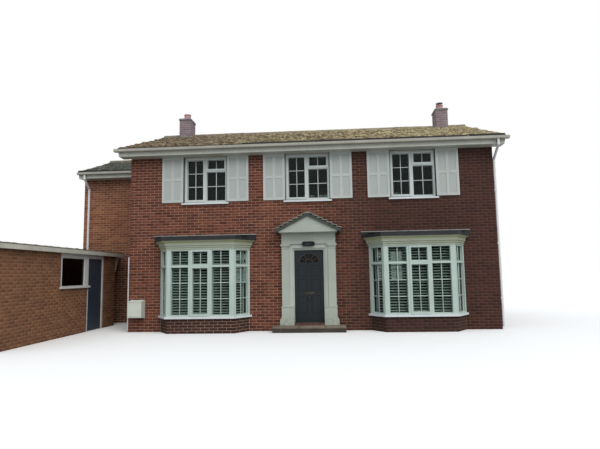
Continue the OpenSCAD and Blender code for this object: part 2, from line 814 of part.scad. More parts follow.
// The plan of a bay moved out by o (inwards when negative), its back line moved into the wall by b.
function bay_plan(o, b = 0) = let (k = o * tan(bay_cant_a / 2), c = o / sin(bay_cant_a))
    [[-bay_w / 2 - c, b], [-bay_w / 2 - c, 0], [-bay_front_w / 2 - k, -bay_d - o],
    [bay_front_w / 2 + k, -bay_d - o], [bay_w / 2 + c, 0], [bay_w / 2 + c, b]];

// A solid bay-shaped slab.
module bay_slab(x, z, h, o) {
    translate([x, front_y, z]) linear_extrude(h) polygon([for (i = [1:4]) bay_plan(o)[i]]);
}

// A bay-shaped band between two offsets.
module bay_band(x, z, h, o0, o1) {
    difference() {
        bay_slab(x, z, h, o0);
        translate([x, front_y, z - eps]) linear_extrude(h + 2 * eps) polygon(bay_plan(o1, eps));
    }
}

module bay_bases() {
    color("firebrick") for (x = [-side_x, side_x]) bay_slab(x, 0, bay_base_h, -20);
}

// The lights of a bay's front and the rows of lights, each as its two edges.
function bay_lights() = let (a = bay_front_w / 2 - bay_post_w, b = bay_mid_half + bay_mullion_w)
    [[-a, -b], [-bay_mid_half, bay_mid_half], [b, a]];
function bay_rows() = [[bay_light_z0, bay_transom_z], [bay_transom_z + bay_transom_h, bay_light_z1]];

// Places a piece on a bay's slanting side, from its back corner along X with the outside towards -Y.
module on_bay_side(x, s) {
    translate([x, front_y, 0]) mirror([s > 0 ? 1 : 0, 0, 0]) translate([-bay_w / 2, 0, 0])
        rotate([0, 0, -bay_cant_a]) children();
}

module bay_frame(x) {
    z0 = bay_base_h + bay_sill_h;
    m = bay_post_w * 0.7;
    y = front_y - bay_d;
    mid = bay_lights()[1];
    union() {
        difference() {
            bay_band(x, z0, bay_head_z - z0, 0, -frame_d);
            for (l = bay_lights(), r = bay_rows()) {
                k = l == mid ? sash_w : 0;
                box([x + l[0] + k, y - eps, r[0] + k], [x + l[1] - k, y + frame_d + eps, r[1] - k]);
            }
            for (s = [-1, 1], r = bay_rows())
                on_bay_side(x, s) translate([m, -frame_d, r[0]])
                    cube([bay_cant_l - 2 * m, frame_d * 3, r[1] - r[0]]);
        }
        for (r = bay_rows()) sash([x + mid[0], y, r[0]], [x + mid[1], y, r[1]]);
    }
}

module bay_frames() {
    color("whitesmoke") {
        bay_frame(-side_x);
        bay_frame(side_x);
    }
}

module bay_glass() {
    z0 = bay_base_h + bay_sill_h;
    color("lightblue", 0.4) for (x = [-side_x, side_x])
        bay_band(x, z0, bay_head_z - z0, -frame_d, -frame_d - glass_t);
}

// A louvred panel along X from the origin, its outside towards -Y and centred on it.
module louvre_panel(l) {
    z0 = bay_base_h + bay_sill_h;
    z1 = bay_head_z - seat;
    n = floor((z1 - z0 - 2 * louvre_stile) / louvre_pitch);
    foot = z0 + (z1 - z0 - (n - 1) * louvre_pitch) / 2;
    union() {
        difference() {
            translate([0, -louvre_t / 2, z0]) cube([l, louvre_t, z1 - z0]);
            translate([louvre_stile, -louvre_t, z0 + louvre_stile])
                cube([l - 2 * louvre_stile, louvre_t * 2, z1 - z0 - 2 * louvre_stile]);
        }
        for (i = [0:n - 1])
            translate([louvre_stile - eps, 0, foot + i * louvre_pitch]) rotate([louvre_tilt, 0, 0])
                translate([0, -louvre_w / 2, -louvre_blade_t / 2])
                    cube([l - 2 * louvre_stile + 2 * eps, louvre_w, louvre_blade_t]);
    }
}

module bay_louvres() {
    o = frame_d + glass_t + louvre_in + louvre_t / 2;
    y = front_y - bay_d + o;
    w = (bay_front_w / 2 - o * tan(bay_cant_a / 2)) * 2;
    c = louvre_t;
    color("white") for (x = [-side_x, side_x]) {
        for (i = [0:2]) translate([x - w / 2 + c / 2 + i * w / 3, y, 0]) louvre_panel(w / 3 - c / 3);
        for (s = [-1, 1]) on_bay_side(x, s) translate([o / tan(bay_cant_a) + c / 2, o, 0])
            louvre_panel(bay_cant_l - o * tan(bay_cant_a / 2) - o / tan(bay_cant_a) - c * 1.5);
    }
}

// The cornice's moulding as projection and height: three fillets with hollows between, cove and top fillet.
function cornice_outline() = let (o = bay_cornice_out, h = bay_cornice_z - bay_head_z - 2 * seat)
    concat([[o * 0.14, 0], [o * 0.14, h * 0.09], [o * 0.06, h * 0.11], [o * 0.08, h * 0.2], [o * 0.26, h * 0.23],
    [o * 0.26, h * 0.31], [o * 0.18, h * 0.33], [o * 0.22, h * 0.42], [o * 0.42, h * 0.45], [o * 0.42, h * 0.53]],
    hollow([o * 0.4, h * 0.55], [o * 0.98, h * 0.9]), [[o, h * 0.91], [o, h]]);

// A moulding run round a bay's three faces with mitred corners, the bay's plan filled behind it.
module bay_moulding(outline) {
    n = len(outline);
    polyhedron([for (p = outline, k = [1:4]) [bay_plan(p[0])[k][0], bay_plan(p[0])[k][1], p[1]]],
        concat([[0, 1, 2, 3], [for (k = [3:-1:0]) n * 4 - 4 + k]],
            [for (j = [0:n - 2], k = [0:2]) [j * 4 + k, j * 4 + 4 + k, j * 4 + 5 + k, j * 4 + 1 + k]],
            [concat([for (j = [0:n - 1]) j * 4 + 3], [for (j = [n - 1:-1:0]) j * 4])]));
}

module bay_cornices() {
    color("whitesmoke") for (x = [-side_x, side_x])
        translate([x, front_y, bay_head_z + seat]) bay_moulding(cornice_outline());
}

// A bay's flat roof: a sheet edge, the falling deck and the flashing up the wall.
module bay_roof(x) {
    lip = board_t;
    c = bay_w / 2 + bay_roof_out / sin(bay_cant_a);
    union() {
        bay_slab(x, bay_cornice_z, bay_roof_z - bay_cornice_z - lip, bay_roof_out);
        bay_slab(x, bay_roof_z - lip, lip, bay_roof_out - lip);
        bar_x(x - bay_w / 2, x + bay_w / 2, [[front_y - bay_d, bay_roof_z], [front_y, bay_roof_z],
            [front_y, bay_roof_z + bay_roof_rise]]);
        bar_x(x - c, x + c, [[front_y - lip / 2, bay_roof_z - lip], [front_y, bay_roof_z - lip],
            [front_y, bay_roof_z + flashing_h + bay_roof_rise], [front_y - lip / 2, bay_roof_z + flashing_h
            + bay_roof_rise]]);
    }
}

module bay_roofs() {
    color("dimgray") {
        bay_roof(-side_x);
        bay_roof(side_x);
    }
}

// A pilaster on its flared plinth, which runs in to the door in front of the lining; s is -1 left or 1 right.
module pilaster(s) {
    f = front_y - pilaster_out;
    in = pilaster_gap / 2;
    out = frieze_half;
    lining_y = front_y - lining_out;
    cap = capital_h * 0.4;
    foot = concat([[in, step_h], [out + flare_out, step_h]], hollow([out + flare_out, step_h + flare_h * 0.3],
        [out + plinth_out, step_h + flare_h]), [[in, step_h + flare_h]]);
    mirror([s < 0 ? 1 : 0, 0, 0]) union() {
        box([in, f, step_h], [out, front_y, pilaster_z]);
        box([in, f - plinth_out, step_h], [out + plinth_out, front_y, step_h + plinth_h]);
        box([plinth_in, f - plinth_out, step_h], [in + eps, lining_y, step_h + plinth_h]);
        box([in, f - plinth_out * 1.8, step_h + plinth_h - lining_step], [out + plinth_out * 1.5, front_y,
            step_h + plinth_h]);
        box([plinth_in, f - plinth_out * 1.8, step_h + plinth_h - lining_step], [in + eps, lining_y,
            step_h + plinth_h]);
        plate_y(f - plinth_out * 3, front_y, foot);
        box([plinth_in, f - plinth_out * 3, step_h], [in + eps, lining_y, step_h + flare_h]);
        box([in, f - plinth_out, pilaster_z - 50], [out + plinth_out * 0.6, front_y, pilaster_z - 38]);
        box([in, f - plinth_out * 1.3, pilaster_z], [out + plinth_out * 1.2, front_y, pilaster_z + cap]);
        box([in, f - plinth_out * 2.4, pilaster_z + cap], [out + plinth_out * 2.2, front_y, capital_z]);
        box([in - plinth_out * 2, f - plinth_out * 2.4, pilaster_z + cap], [in + eps, lining_y, capital_z]);
    }
}

module door_pilasters() {
    color("white") {
        pilaster(-1);
        pilaster(1);
    }
}

// The entablature's side outline: frieze, fillet, cornice hollow and top edge, from w out to u.
function entablature(w, u) = let (h = door_cornice_h)
    concat([[w, capital_z], [w, cornice_z - frieze_h * 0.5], [w + 10, cornice_z - frieze_h * 0.5],
    [w + 10, cornice_z - frieze_h * 0.4], [w, cornice_z - frieze_h * 0.4], [w, cornice_z]],
    hollow([w, cornice_z], [u - 12, cornice_z + h * 0.66]), [[u, cornice_z + h * 0.66], [u, pediment_z]]);

module door_pediment() {
    side = [for (p = entablature(pilaster_out, pediment_out)) [front_y - p[0], p[1]]];
    face = both_sides(entablature(frieze_half, pediment_half));
    color("white") union() {
        intersection() {
            plate_y(front_y - pediment_out, front_y, face);
            bar_x(-pediment_half, pediment_half, concat(side, [[front_y, pediment_z], [front_y, capital_z]]));
        }
        plate_y(front_y - pediment_out, front_y, [[-pediment_half, pediment_z - eps],
            [pediment_half, pediment_z - eps], [pediment_half, pediment_z], [0, pediment_z + pediment_h],
            [-pediment_half, pediment_z]]);
    }
}

module pediment_roof() {
    o = pediment_roof_over;
    x = pediment_half + o;
    z = pediment_z - o * pediment_slope + seat;
    apex_z = pediment_z + pediment_h + seat;
    color("darkslategray") plate_y(front_y - pediment_out - o * 0.6, front_y, [[-x, z], [0, apex_z], [x, z],
        [x, z + pediment_roof_t], [0, apex_z + pediment_roof_t], [-x, z + pediment_roof_t]]);
}

// The door's half of its hinges, from the inner corner of the leaf's hinge edge.
module hinge_leaves(heights) {
    for (z = heights) translate([0, 0, z + hinge_h + hinge_gap]) {
        translate([hinge_in, hinge_r + 0.5, 0]) cylinder(r = hinge_r, h = hinge_h);
        translate([hinge_in, 0, 0]) cube([hinge_r * 5, hinge_in, hinge_h]);
    }
}

// The frame's half of the hinges, from the same corner.
module hinge_seats(heights) {
    for (z = heights) translate([0, 0, z]) {
        translate([hinge_in, hinge_r + 0.5, 0]) cylinder(r = hinge_r, h = hinge_h);
        translate([-door_gap, hinge_r * 0.25, 0]) cube([door_gap + hinge_in, hinge_r * 1.4, hinge_h]);
    }
}

// Places hinges on the front door's hinge edge.
module at_front_hinge() {
    translate([-door_w / 2, front_y + door_in + door_t, 0]) children();
}

// Places hinges on the garage door's hinge edge.
module at_garage_hinge() {
    translate([garage_leaf_x - door_t, garage_leaf_y1, 0]) rotate([0, 0, -90]) mirror([0, 1, 0]) children();
}

// One step of the door's moulded lining, from its opening's half width out to the pilasters.
module lining_ring(b, y) {
    p = pilaster_gap / 2;
    top_z = door_top_z - stop_lap + b - door_w / 2 + stop_lap;
    difference() {
        box([-p, y, threshold_z], [p, front_y, capital_z]);
        box([-b, y - eps, threshold_z - eps], [b, front_y + eps, top_z]);
    }
}

module door_frame() {
    a = door_w / 2 + door_gap;
    o = door_opening_w / 2;
    b = door_w / 2 - stop_lap;
    y1 = front_y + door_in - door_gap;
    color("white") union() {
        difference() {
            box([-o, front_y, threshold_z], [o, front_y + 150, opening_top_z]);
            box([-a, front_y - eps, threshold_z - eps], [a, front_y + 150 + eps, jamb_top_z]);
        }
        difference() {
            box([-o, front_y, threshold_z], [o, y1, opening_top_z]);
            box([-b, front_y - eps, threshold_z - eps], [b, y1 + eps, door_top_z - stop_lap]);
        }
        for (i = [0:2]) lining_ring(b + i * lining_step, front_y - lining_out + (2 - i) * lining_step);
        at_front_hinge() hinge_seats([door_up(0.1), door_up(0.48), door_up(0.87)]);
    }
}

// Height in the door's face for a fraction of its height.
function door_up(k) = door_bottom_z + door_h * k;

// The panels of the front door as half widths and heights, each with the middle of its width.
function door_panels() = [for (s = [-1, 1], r = [[0.11, 0.36], [0.42, 0.59], [0.62, 0.785]])
    [s * door_w * 0.22, door_w * 0.155, door_up(r[0]), door_up(r[1])]];

module front_door() {
    y0 = front_y + door_in;
    w = door_w / 2 - stop_lap * 2;
    color("darkslategray") {
        difference() {
            union() {
                box([-door_w / 2, y0, door_bottom_z], [door_w / 2, y0 + door_t, door_top_z]);
                bar_x(-w, w, [[y0 + eps, door_bottom_z], [y0 - 28, door_bottom_z], [y0 - 28, door_bottom_z + 20],
                    [y0, door_bottom_z + 48], [y0 + eps, door_bottom_z + 48]]);
                at_front_hinge() hinge_leaves([door_up(0.1), door_up(0.48), door_up(0.87)]);
            }
            for (p = door_panels())
                box([p[0] - p[1], y0 - eps, p[2]], [p[0] + p[1], y0 + panel_in, p[3]]);
            fanlight_shape(y0 - eps, y0 + door_t + eps);
        }
        for (p = door_panels())
            box([p[0] - p[1] + panel_border, y0 + panel_in * 0.3, p[2] + panel_border],
                [p[0] + p[1] - panel_border, y0 + panel_in + eps, p[3] - panel_border]);
    }
}

// The half-round opening of the fanlight.
module fanlight_shape(y0, y1) {
    r = door_w * 0.335;
    plate_y(y0, y1, [for (a = [0:12:180]) [r * cos(a), door_up(0.82) + r * 0.9 * sin(a)]]);
}

module door_fanlight() {
    y = front_y + door_in + (door_t - glass_t) / 2;
    color("lightblue", 0.5) fanlight_shape(y, y + glass_t);
}

module door_furniture() {
    y0 = front_y + door_in;
    color("goldenrod") {
        box([-105, y0 - 8, door_up(0.375)], [105, y0, door_up(0.402)]);
        translate([0, y0, door_up(0.325)]) rotate([90, 0, 0]) union() {
            cylinder(r = knob_r * 1.1, h = 8);
            cylinder(r = knob_r * 0.4, h = knob_r);
            translate([0, 0, knob_r]) cylinder(r = knob_r, h = knob_r * 0.7);
        }
        translate([door_w * 0.43, y0, door_up(0.52)]) rotate([90, 0, 0]) cylinder(r = 22, h = 8);
    }
}

// A plain oblong plaque with round ends, fixed over the door.
module name_plaque() {
    y = front_y - pilaster_out;
    color("black") plate_y(y - plaque_t, y, [for (s = [-1, 1], a = [-90:15:90])
        [s * (plaque_half - plaque_r * (1 - cos(a))), capital_z + plaque_r * s * sin(a)]]);
}

// The step, the raised slab between the plinths and the threshold in the wall.
module doorstep() {
    color("dimgray") union() {
        box([-step_w / 2, front_y - step_out, 0], [step_w / 2, front_y, step_h]);
        box([-plinth_in, front_y - pilaster_out - flare_out * 0.5, step_h], [plinth_in, front_y + wall_t,
            (step_h + threshold_z) / 2]);
        box([-plinth_in, front_y - pilaster_out, step_h], [plinth_in, front_y + eps, threshold_z - lining_step]);
        box([-door_opening_w / 2, front_y, 0], [door_opening_w / 2, front_y + wall_t, threshold_z]);
    }
}

module meter_box() {
    x0 = -half_x + meter_in;
    color("ivory") bar_x(x0, x0 + meter_w, [[front_y, meter_z - meter_fall], [front_y - meter_d, meter_z],
        [front_y - meter_d, meter_z + meter_h], [front_y, meter_z + meter_h + meter_fall]]);
}

module garage_floor() {
    t = garage_wall_t;
    color("gray") box([garage_x0 + t, garage_front_y + t, 0], [garage_x - t, garage_back_y - t, garage_leaf_z * 0.5]);
}

module garage_walls() {
    t = garage_wall_t;
    color("sienna") union() {
        box([garage_x0, garage_front_y, 0], [garage_x0 + t, garage_back_y, garage_wall_z]);
        box([garage_x0, garage_front_y, 0], [garage_x - t, garage_front_y + t, garage_wall_z]);
        box([garage_x0, garage_back_y - t, 0], [garage_x, garage_back_y, garage_wall_z]);
        box([garage_x - t, garage_door_y1, 0], [garage_x, garage_back_y, garage_wall_z]);
    }
}

module garage_window_wall() {
    t = garage_wall_t;
    color("sienna") union() {
        box([garage_x - t, garage_front_y, 0], [garage_x, garage_window_y0 - garage_frame_w, garage_wall_z]);
        box([garage_x - t, garage_front_y, 0], [garage_x, garage_door_y0 - garage_frame_w, garage_window_z]);
    }
}

// The plan of the garage's roof moved out by o, its link running on past the wing's face by e.
function garage_plan(o, e = 0) = let (b = garage_over - board_t + o, x = garage_x - garage_link_in + o,
    y = garage_back_y + garage_back_over - board_t + o)
    [[garage_x0 - b, garage_front_y - b], [garage_x + b, garage_front_y - b], [garage_x + b, y],
    [x, y], [x, wing_y + e], [garage_x0 - b, wing_y + e]];

module garage_roof() {
    color("dimgray") translate([0, 0, garage_wall_z]) linear_extrude(garage_roof_t) polygon(garage_plan(0));
}

module garage_fascia() {
    z0 = garage_wall_z + garage_roof_t + 10 - garage_fascia_h;
    color("lightgray") {
        translate([0, 0, z0]) difference() {
            linear_extrude(garage_fascia_h) polygon(garage_plan(board_t));
            translate([0, 0, -eps]) linear_extrude(garage_fascia_h + 2 * eps) polygon(garage_plan(0, eps));
        }
        bar_x(garage_x - bracket_t * 2, garage_x - bracket_t, [[garage_back_y, garage_wall_z],
            [garage_back_y + bracket_l, garage_wall_z], [garage_back_y, garage_wall_z - bracket_h]]);
    }
}

module garage_frame() {
    x0 = garage_x - frame_d * 1.4;
    f = garage_frame_w;
    z1 = garage_wall_z;
    color("white") union() {
        difference() {
            box([x0, garage_window_y0 - f, garage_window_z], [garage_x, garage_door_y0, z1]);
            box([x0 - eps, garage_window_y0, garage_window_z + sill_h],
                [garage_x + eps, garage_window_y1, z1 - garage_panel_h]);
        }
        box([x0, garage_door_y0 - f, 0], [garage_x, garage_door_y0, z1]);
        box([x0, garage_door_y1 - f, 0], [garage_x, garage_door_y1, z1]);
        box([x0, garage_door_y0 - f, garage_head_z], [garage_x, garage_door_y1, z1]);
        box([garage_x, garage_window_y0 - f - 40, garage_window_z],
            [garage_x + 70, garage_door_y0 - 10, garage_window_z + sill_h]);
        at_garage_hinge() hinge_seats(garage_hinges);
    }
}

module garage_door() {
    x1 = garage_leaf_x;
    y = garage_leaf_y0 + garage_door_w * 0.09;
    z = garage_leaf_z + garage_door_h / 2;
    color("midnightblue") union() {
        box([x1 - door_t, garage_leaf_y0, garage_leaf_z], [x1, garage_leaf_y1, garage_leaf_z + garage_door_h]);
        translate([x1, y, z]) rotate([0, 90, 0]) cylinder(r = 11, h = 45);
        translate([x1 + 40, y, z]) rotate([-90, 0, 0]) cylinder(r = 10, h = 110);
        at_garage_hinge() hinge_leaves(garage_hinges);
    }
}

ground_floor();
first_floor();
front_wall_left();
front_wall_right();
front_wall_over_door();
back_wall();
left_gable_wall();
right_gable_wall();
wing_front_wall();
wing_side_wall();
main_roof_front();
main_roof_back();
wing_roof_front();
wing_roof_back();
ridge_tiles();
eaves_boards();
gutters();
downpipes();
chimney_stacks();
chimney_pots();
chimney_cowl();
window_frames();
window_glass();
window_sills();
shutters();
bay_bases();
bay_frames();
bay_glass();
bay_louvres();
bay_cornices();
bay_roofs();
door_pilasters();
door_pediment();
pediment_roof();
door_frame();
front_door();
door_fanlight();
door_furniture();
name_plaque();
doorstep();
meter_box();
garage_floor();
garage_walls();
garage_window_wall();
garage_roof();
garage_fascia();
garage_frame();
garage_door();
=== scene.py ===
"""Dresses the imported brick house: facing bricks, roof tiles, joinery trim, finishes, light and camera.

Everything is in metres in the part's own frame: X along the front, Y from the front to the back, Z up.
"""

import logging
import math
from dataclasses import dataclass, field
from enum import Enum
from typing import Any, Callable, Iterable, Protocol, Sequence

import bpy
import numpy as np
from mathutils import Matrix, Vector


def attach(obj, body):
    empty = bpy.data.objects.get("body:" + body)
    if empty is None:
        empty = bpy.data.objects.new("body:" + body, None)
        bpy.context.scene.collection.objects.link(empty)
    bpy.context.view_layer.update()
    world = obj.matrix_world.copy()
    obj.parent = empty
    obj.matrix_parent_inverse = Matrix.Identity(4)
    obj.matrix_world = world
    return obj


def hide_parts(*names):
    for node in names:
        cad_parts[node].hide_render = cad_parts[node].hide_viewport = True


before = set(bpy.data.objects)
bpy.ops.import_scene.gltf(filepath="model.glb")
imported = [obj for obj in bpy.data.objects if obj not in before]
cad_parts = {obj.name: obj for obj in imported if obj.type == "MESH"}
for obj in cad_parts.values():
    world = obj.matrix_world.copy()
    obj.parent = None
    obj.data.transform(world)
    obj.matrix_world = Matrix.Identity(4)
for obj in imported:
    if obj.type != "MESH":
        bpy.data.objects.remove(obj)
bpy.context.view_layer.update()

LOG = logging.getLogger("house")
Array = np.ndarray
Box = tuple[float, float, float, float, float, float]
Test = Callable[[Vector, Vector], bool]


class Body(Enum):
    """The bodies that a piece can ride on."""

    HOUSE = "house"
    FRONT_LEAF = "front_door_leaf"


class Pick(Enum):
    """What an edit-mode selection is made of, as Blender's select-mode flags."""

    POINTS = (True, False, False)
    EDGES = (False, True, False)
    FACES = (False, False, True)


def seeded(seed: int) -> Any:
    """A dataclass field with its own source of chance values."""
    return field(default_factory=lambda: np.random.default_rng(seed))


@dataclass(frozen=True)
class HouseSizes:
    """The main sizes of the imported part."""

    half_x: float = 4.889
    half_y: float = 3.201
    soffit_z: float = 4.725
    wing_x: float = -7.639
    wing_y: float = -0.614
    wing_mid_y: float = 1.2935
    slope: float = math.tan(math.radians(20.6))
    pitch: float = math.radians(20.6)
    ridge_z: float = 6.2923
    wing_ridge_z: float = 5.8061
    tile_out: float = 0.370
    verge_x: float = 5.134
    wing_verge_x: float = -7.697
    roof_t: float = 0.18
    fascia_out: float = 0.32
    gutter_w: float = 0.112
    gutter_z: float = 4.915
    side_x: float = 2.8
    window_w: float = 1.2
    window_z: float = 3.45
    window_h: float = 1.275
    back_window_z: float = 1.125
    stack_x: float = 4.329
    stack_w: float = 0.1925
    stack_d: float = 0.27
    stack_top_z: float = 6.87
    garage_x: float = -6.139
    garage_x0: float = -9.139
    garage_y0: float = -6.651
    garage_y1: float = -1.441
    garage_z: float = 2.11

    def under_z(self, y: float) -> float:
        """Height of a wall's top under the main roof."""
        return self.ridge_z - self.roof_t - abs(y) * self.slope

    def wing_under_z(self, y: float) -> float:
        """Height of a wall's top under the wing roof."""
        return self.wing_ridge_z - self.roof_t - abs(y - self.wing_mid_y) * self.slope

    def wing_roof_z(self, y: float) -> float:
        """Height of the top of the wing roof."""
        return self.wing_ridge_z - abs(y - self.wing_mid_y) * self.slope


SIZES = HouseSizes()
UPRIGHT = (math.pi / 2, 0, 0)  # Turns a primitive that lies flat or stands along Z to face the front.
EAVES_SHADE_Z = 4.72  # The height at which the shade under the eaves is full.
LOW_SHADE_REACH = 2.0  # How far down the painted low shade takes to be full.
TREE_SHADE_X = -0.5  # The X from which the trees' painted shade darkens the front.
TREE_SHADE_REACH = 2.4  # How far along the front the painted shade takes to be full.


@dataclass
class Shape:
    """A mesh as arrays.

    Attributes:
        points: The places of the points, one row each.
        corners: The point numbers of all faces, one face after another.
        counts: The number of corners of each face.
        tone: Four chance values for each point, alike within a copy.
    """

    points: Array
    corners: Array
    counts: Array
    tone: Array

    @classmethod
    def of(cls, obj: bpy.types.Object) -> "Shape":
        """Takes the mesh of an object off the bench.

        Args:
            obj: The object, which is used up.

        Returns:
            Its mesh as a shape.
        """
        mesh = obj.data
        points = np.empty(len(mesh.vertices) * 3)
        mesh.vertices.foreach_get("co", points)
        corners = np.empty(len(mesh.loops), dtype=np.int64)
        mesh.loops.foreach_get("vertex_index", corners)
        counts = np.empty(len(mesh.polygons), dtype=np.int64)
        mesh.polygons.foreach_get("loop_total", counts)
        bpy.data.objects.remove(obj)
        bpy.data.meshes.remove(mesh)
        return cls(points.reshape(-1, 3), corners, counts, np.full((len(points) // 3, 4), 0.5))

    def _copies(self, points: Array, rng: np.random.Generator) -> "Shape":
        """One shape made of copies of this one.

        Args:
            points: The points of each copy, as (copies, points, 3).
            rng: The source of the copies' chance values.

        Returns:
            All copies as one shape.
        """
        m, n = points.shape[0], points.shape[1]
        shift = np.repeat(np.arange(m) * n, len(self.corners))
        return Shape(
            points.reshape(-1, 3),
            np.tile(self.corners, m) + shift,
            np.tile(self.counts, m),
            np.repeat(rng.random((m, 4)), n, axis=0),
        )

    def stretched(self, boxes: Sequence[Box], rng: np.random.Generator, lift: Array | None = None) -> "Shape":
        """A copy for each box, stretched to it with the arrises kept as they are.

        Args:
            boxes: The lowest and highest corner of each box, as six numbers.
            rng: The source of the copies' chance values.
            lift: How much higher the top lies at the left and at the right end of each box.

        Returns:
            All copies as one shape.
        """
        span = np.asarray(boxes, dtype=float).reshape(-1, 6)
        low, high = self.points.min(0), self.points.max(0)
        half = (high - low) / 2
        local = self.points - (low + high) / 2
        side = np.where(np.abs(local) < 1e-6, 0.0, np.sign(local))
        inset = (np.abs(local) - half) * np.abs(side)
        middle = (span[:, None, :3] + span[:, None, 3:]) / 2
        reach = (span[:, None, 3:] - span[:, None, :3]) / 2
        points = middle + side * (reach + inset)
        if lift is not None:
            rise = np.where(side[None, :, 0] < 0, lift[:, :1], lift[:, 1:])
            points[:, :, 2] += np.where(side[None, :, 2] > 0, rise, 0.0)
        return self._copies(points, rng)

    def placed(self, turns: Array, places: Array, rng: np.random.Generator) -> "Shape":
        """A copy for each turn and place.

        Args:
            turns: A 3 by 3 matrix for each copy.
            places: A place for each copy.
            rng: The source of the copies' chance values.
        """
        return self._copies(np.einsum("mij,nj->mni", turns, self.points) + places[:, None, :], rng)

    def on(self, plane: "Plane") -> "Shape":
        """The shape carried from a plane's own directions to the house's."""
        return Shape(plane.world(self.points), self.corners, self.counts, self.tone)

    def mirrored(self, axis: int) -> "Shape":
        """The shape on the other side of the middle, still facing outwards.

        Args:
            axis: The number of the direction that is turned round.

        Returns:
            The mirrored shape.
        """
        points = self.points.copy()
        points[:, axis] *= -1
        ends = np.cumsum(self.counts)
        parts = [self.corners[e - c : e][::-1] for e, c in zip(ends, self.counts)]
        return Shape(points, np.concatenate(parts), self.counts, self.tone)

    def moved(self, x: float = 0.0, y: float = 0.0, z: float = 0.0) -> "Shape":
        """The shape moved by a distance."""
        return Shape(self.points + np.array([x, y, z]), self.corners, self.counts, self.tone)


def joined(shapes: Iterable[Shape]) -> Shape:
    """Several shapes as one.

    Args:
        shapes: The shapes.

    Returns:
        All of them as one.
    """
    found = list(shapes)
    starts = np.cumsum([0] + [len(s.points) for s in found[:-1]])
    return Shape(
        np.concatenate([s.points for s in found]),
        np.concatenate([s.corners + k for s, k in zip(found, starts)]),
        np.concatenate([s.counts for s in found]),
        np.concatenate([s.tone for s in found]),
    )


@dataclass(frozen=True)
class Plane:
    """An upright face of the house: along it, into it and up are its own x, y and z.

    Attributes:
        x: Where the face starts.
        y: Where the face starts.
        to_x: The direction along the face, the outside on its right.
        to_y: The direction along the face.
    """

    x: float
    y: float
    to_x: float = 1.0
    to_y: float = 0.0

    @classmethod
    def between(cls, a: tuple[float, float], b: tuple[float, float]) -> "Plane":
        """The face from one corner of a plan to the next."""
        length = math.hypot(b[0] - a[0], b[1] - a[1])
        return cls(a[0], a[1], (b[0] - a[0]) / length, (b[1] - a[1]) / length)

    def world(self, points: Array) -> Array:
        """Points of the face's own directions in the house's.

        Args:
            points: The points, one row each.

        Returns:
            The same points in the house's directions.
        """
        along = np.array([self.to_x, self.to_y, 0.0])
        inward = np.array([-self.to_y, self.to_x, 0.0])
        start = np.array([self.x, self.y, 0.0])
        upward = np.array([0.0, 0.0, 1.0])
        return start + points[:, :1] * along + points[:, 1:2] * inward + points[:, 2:] * upward


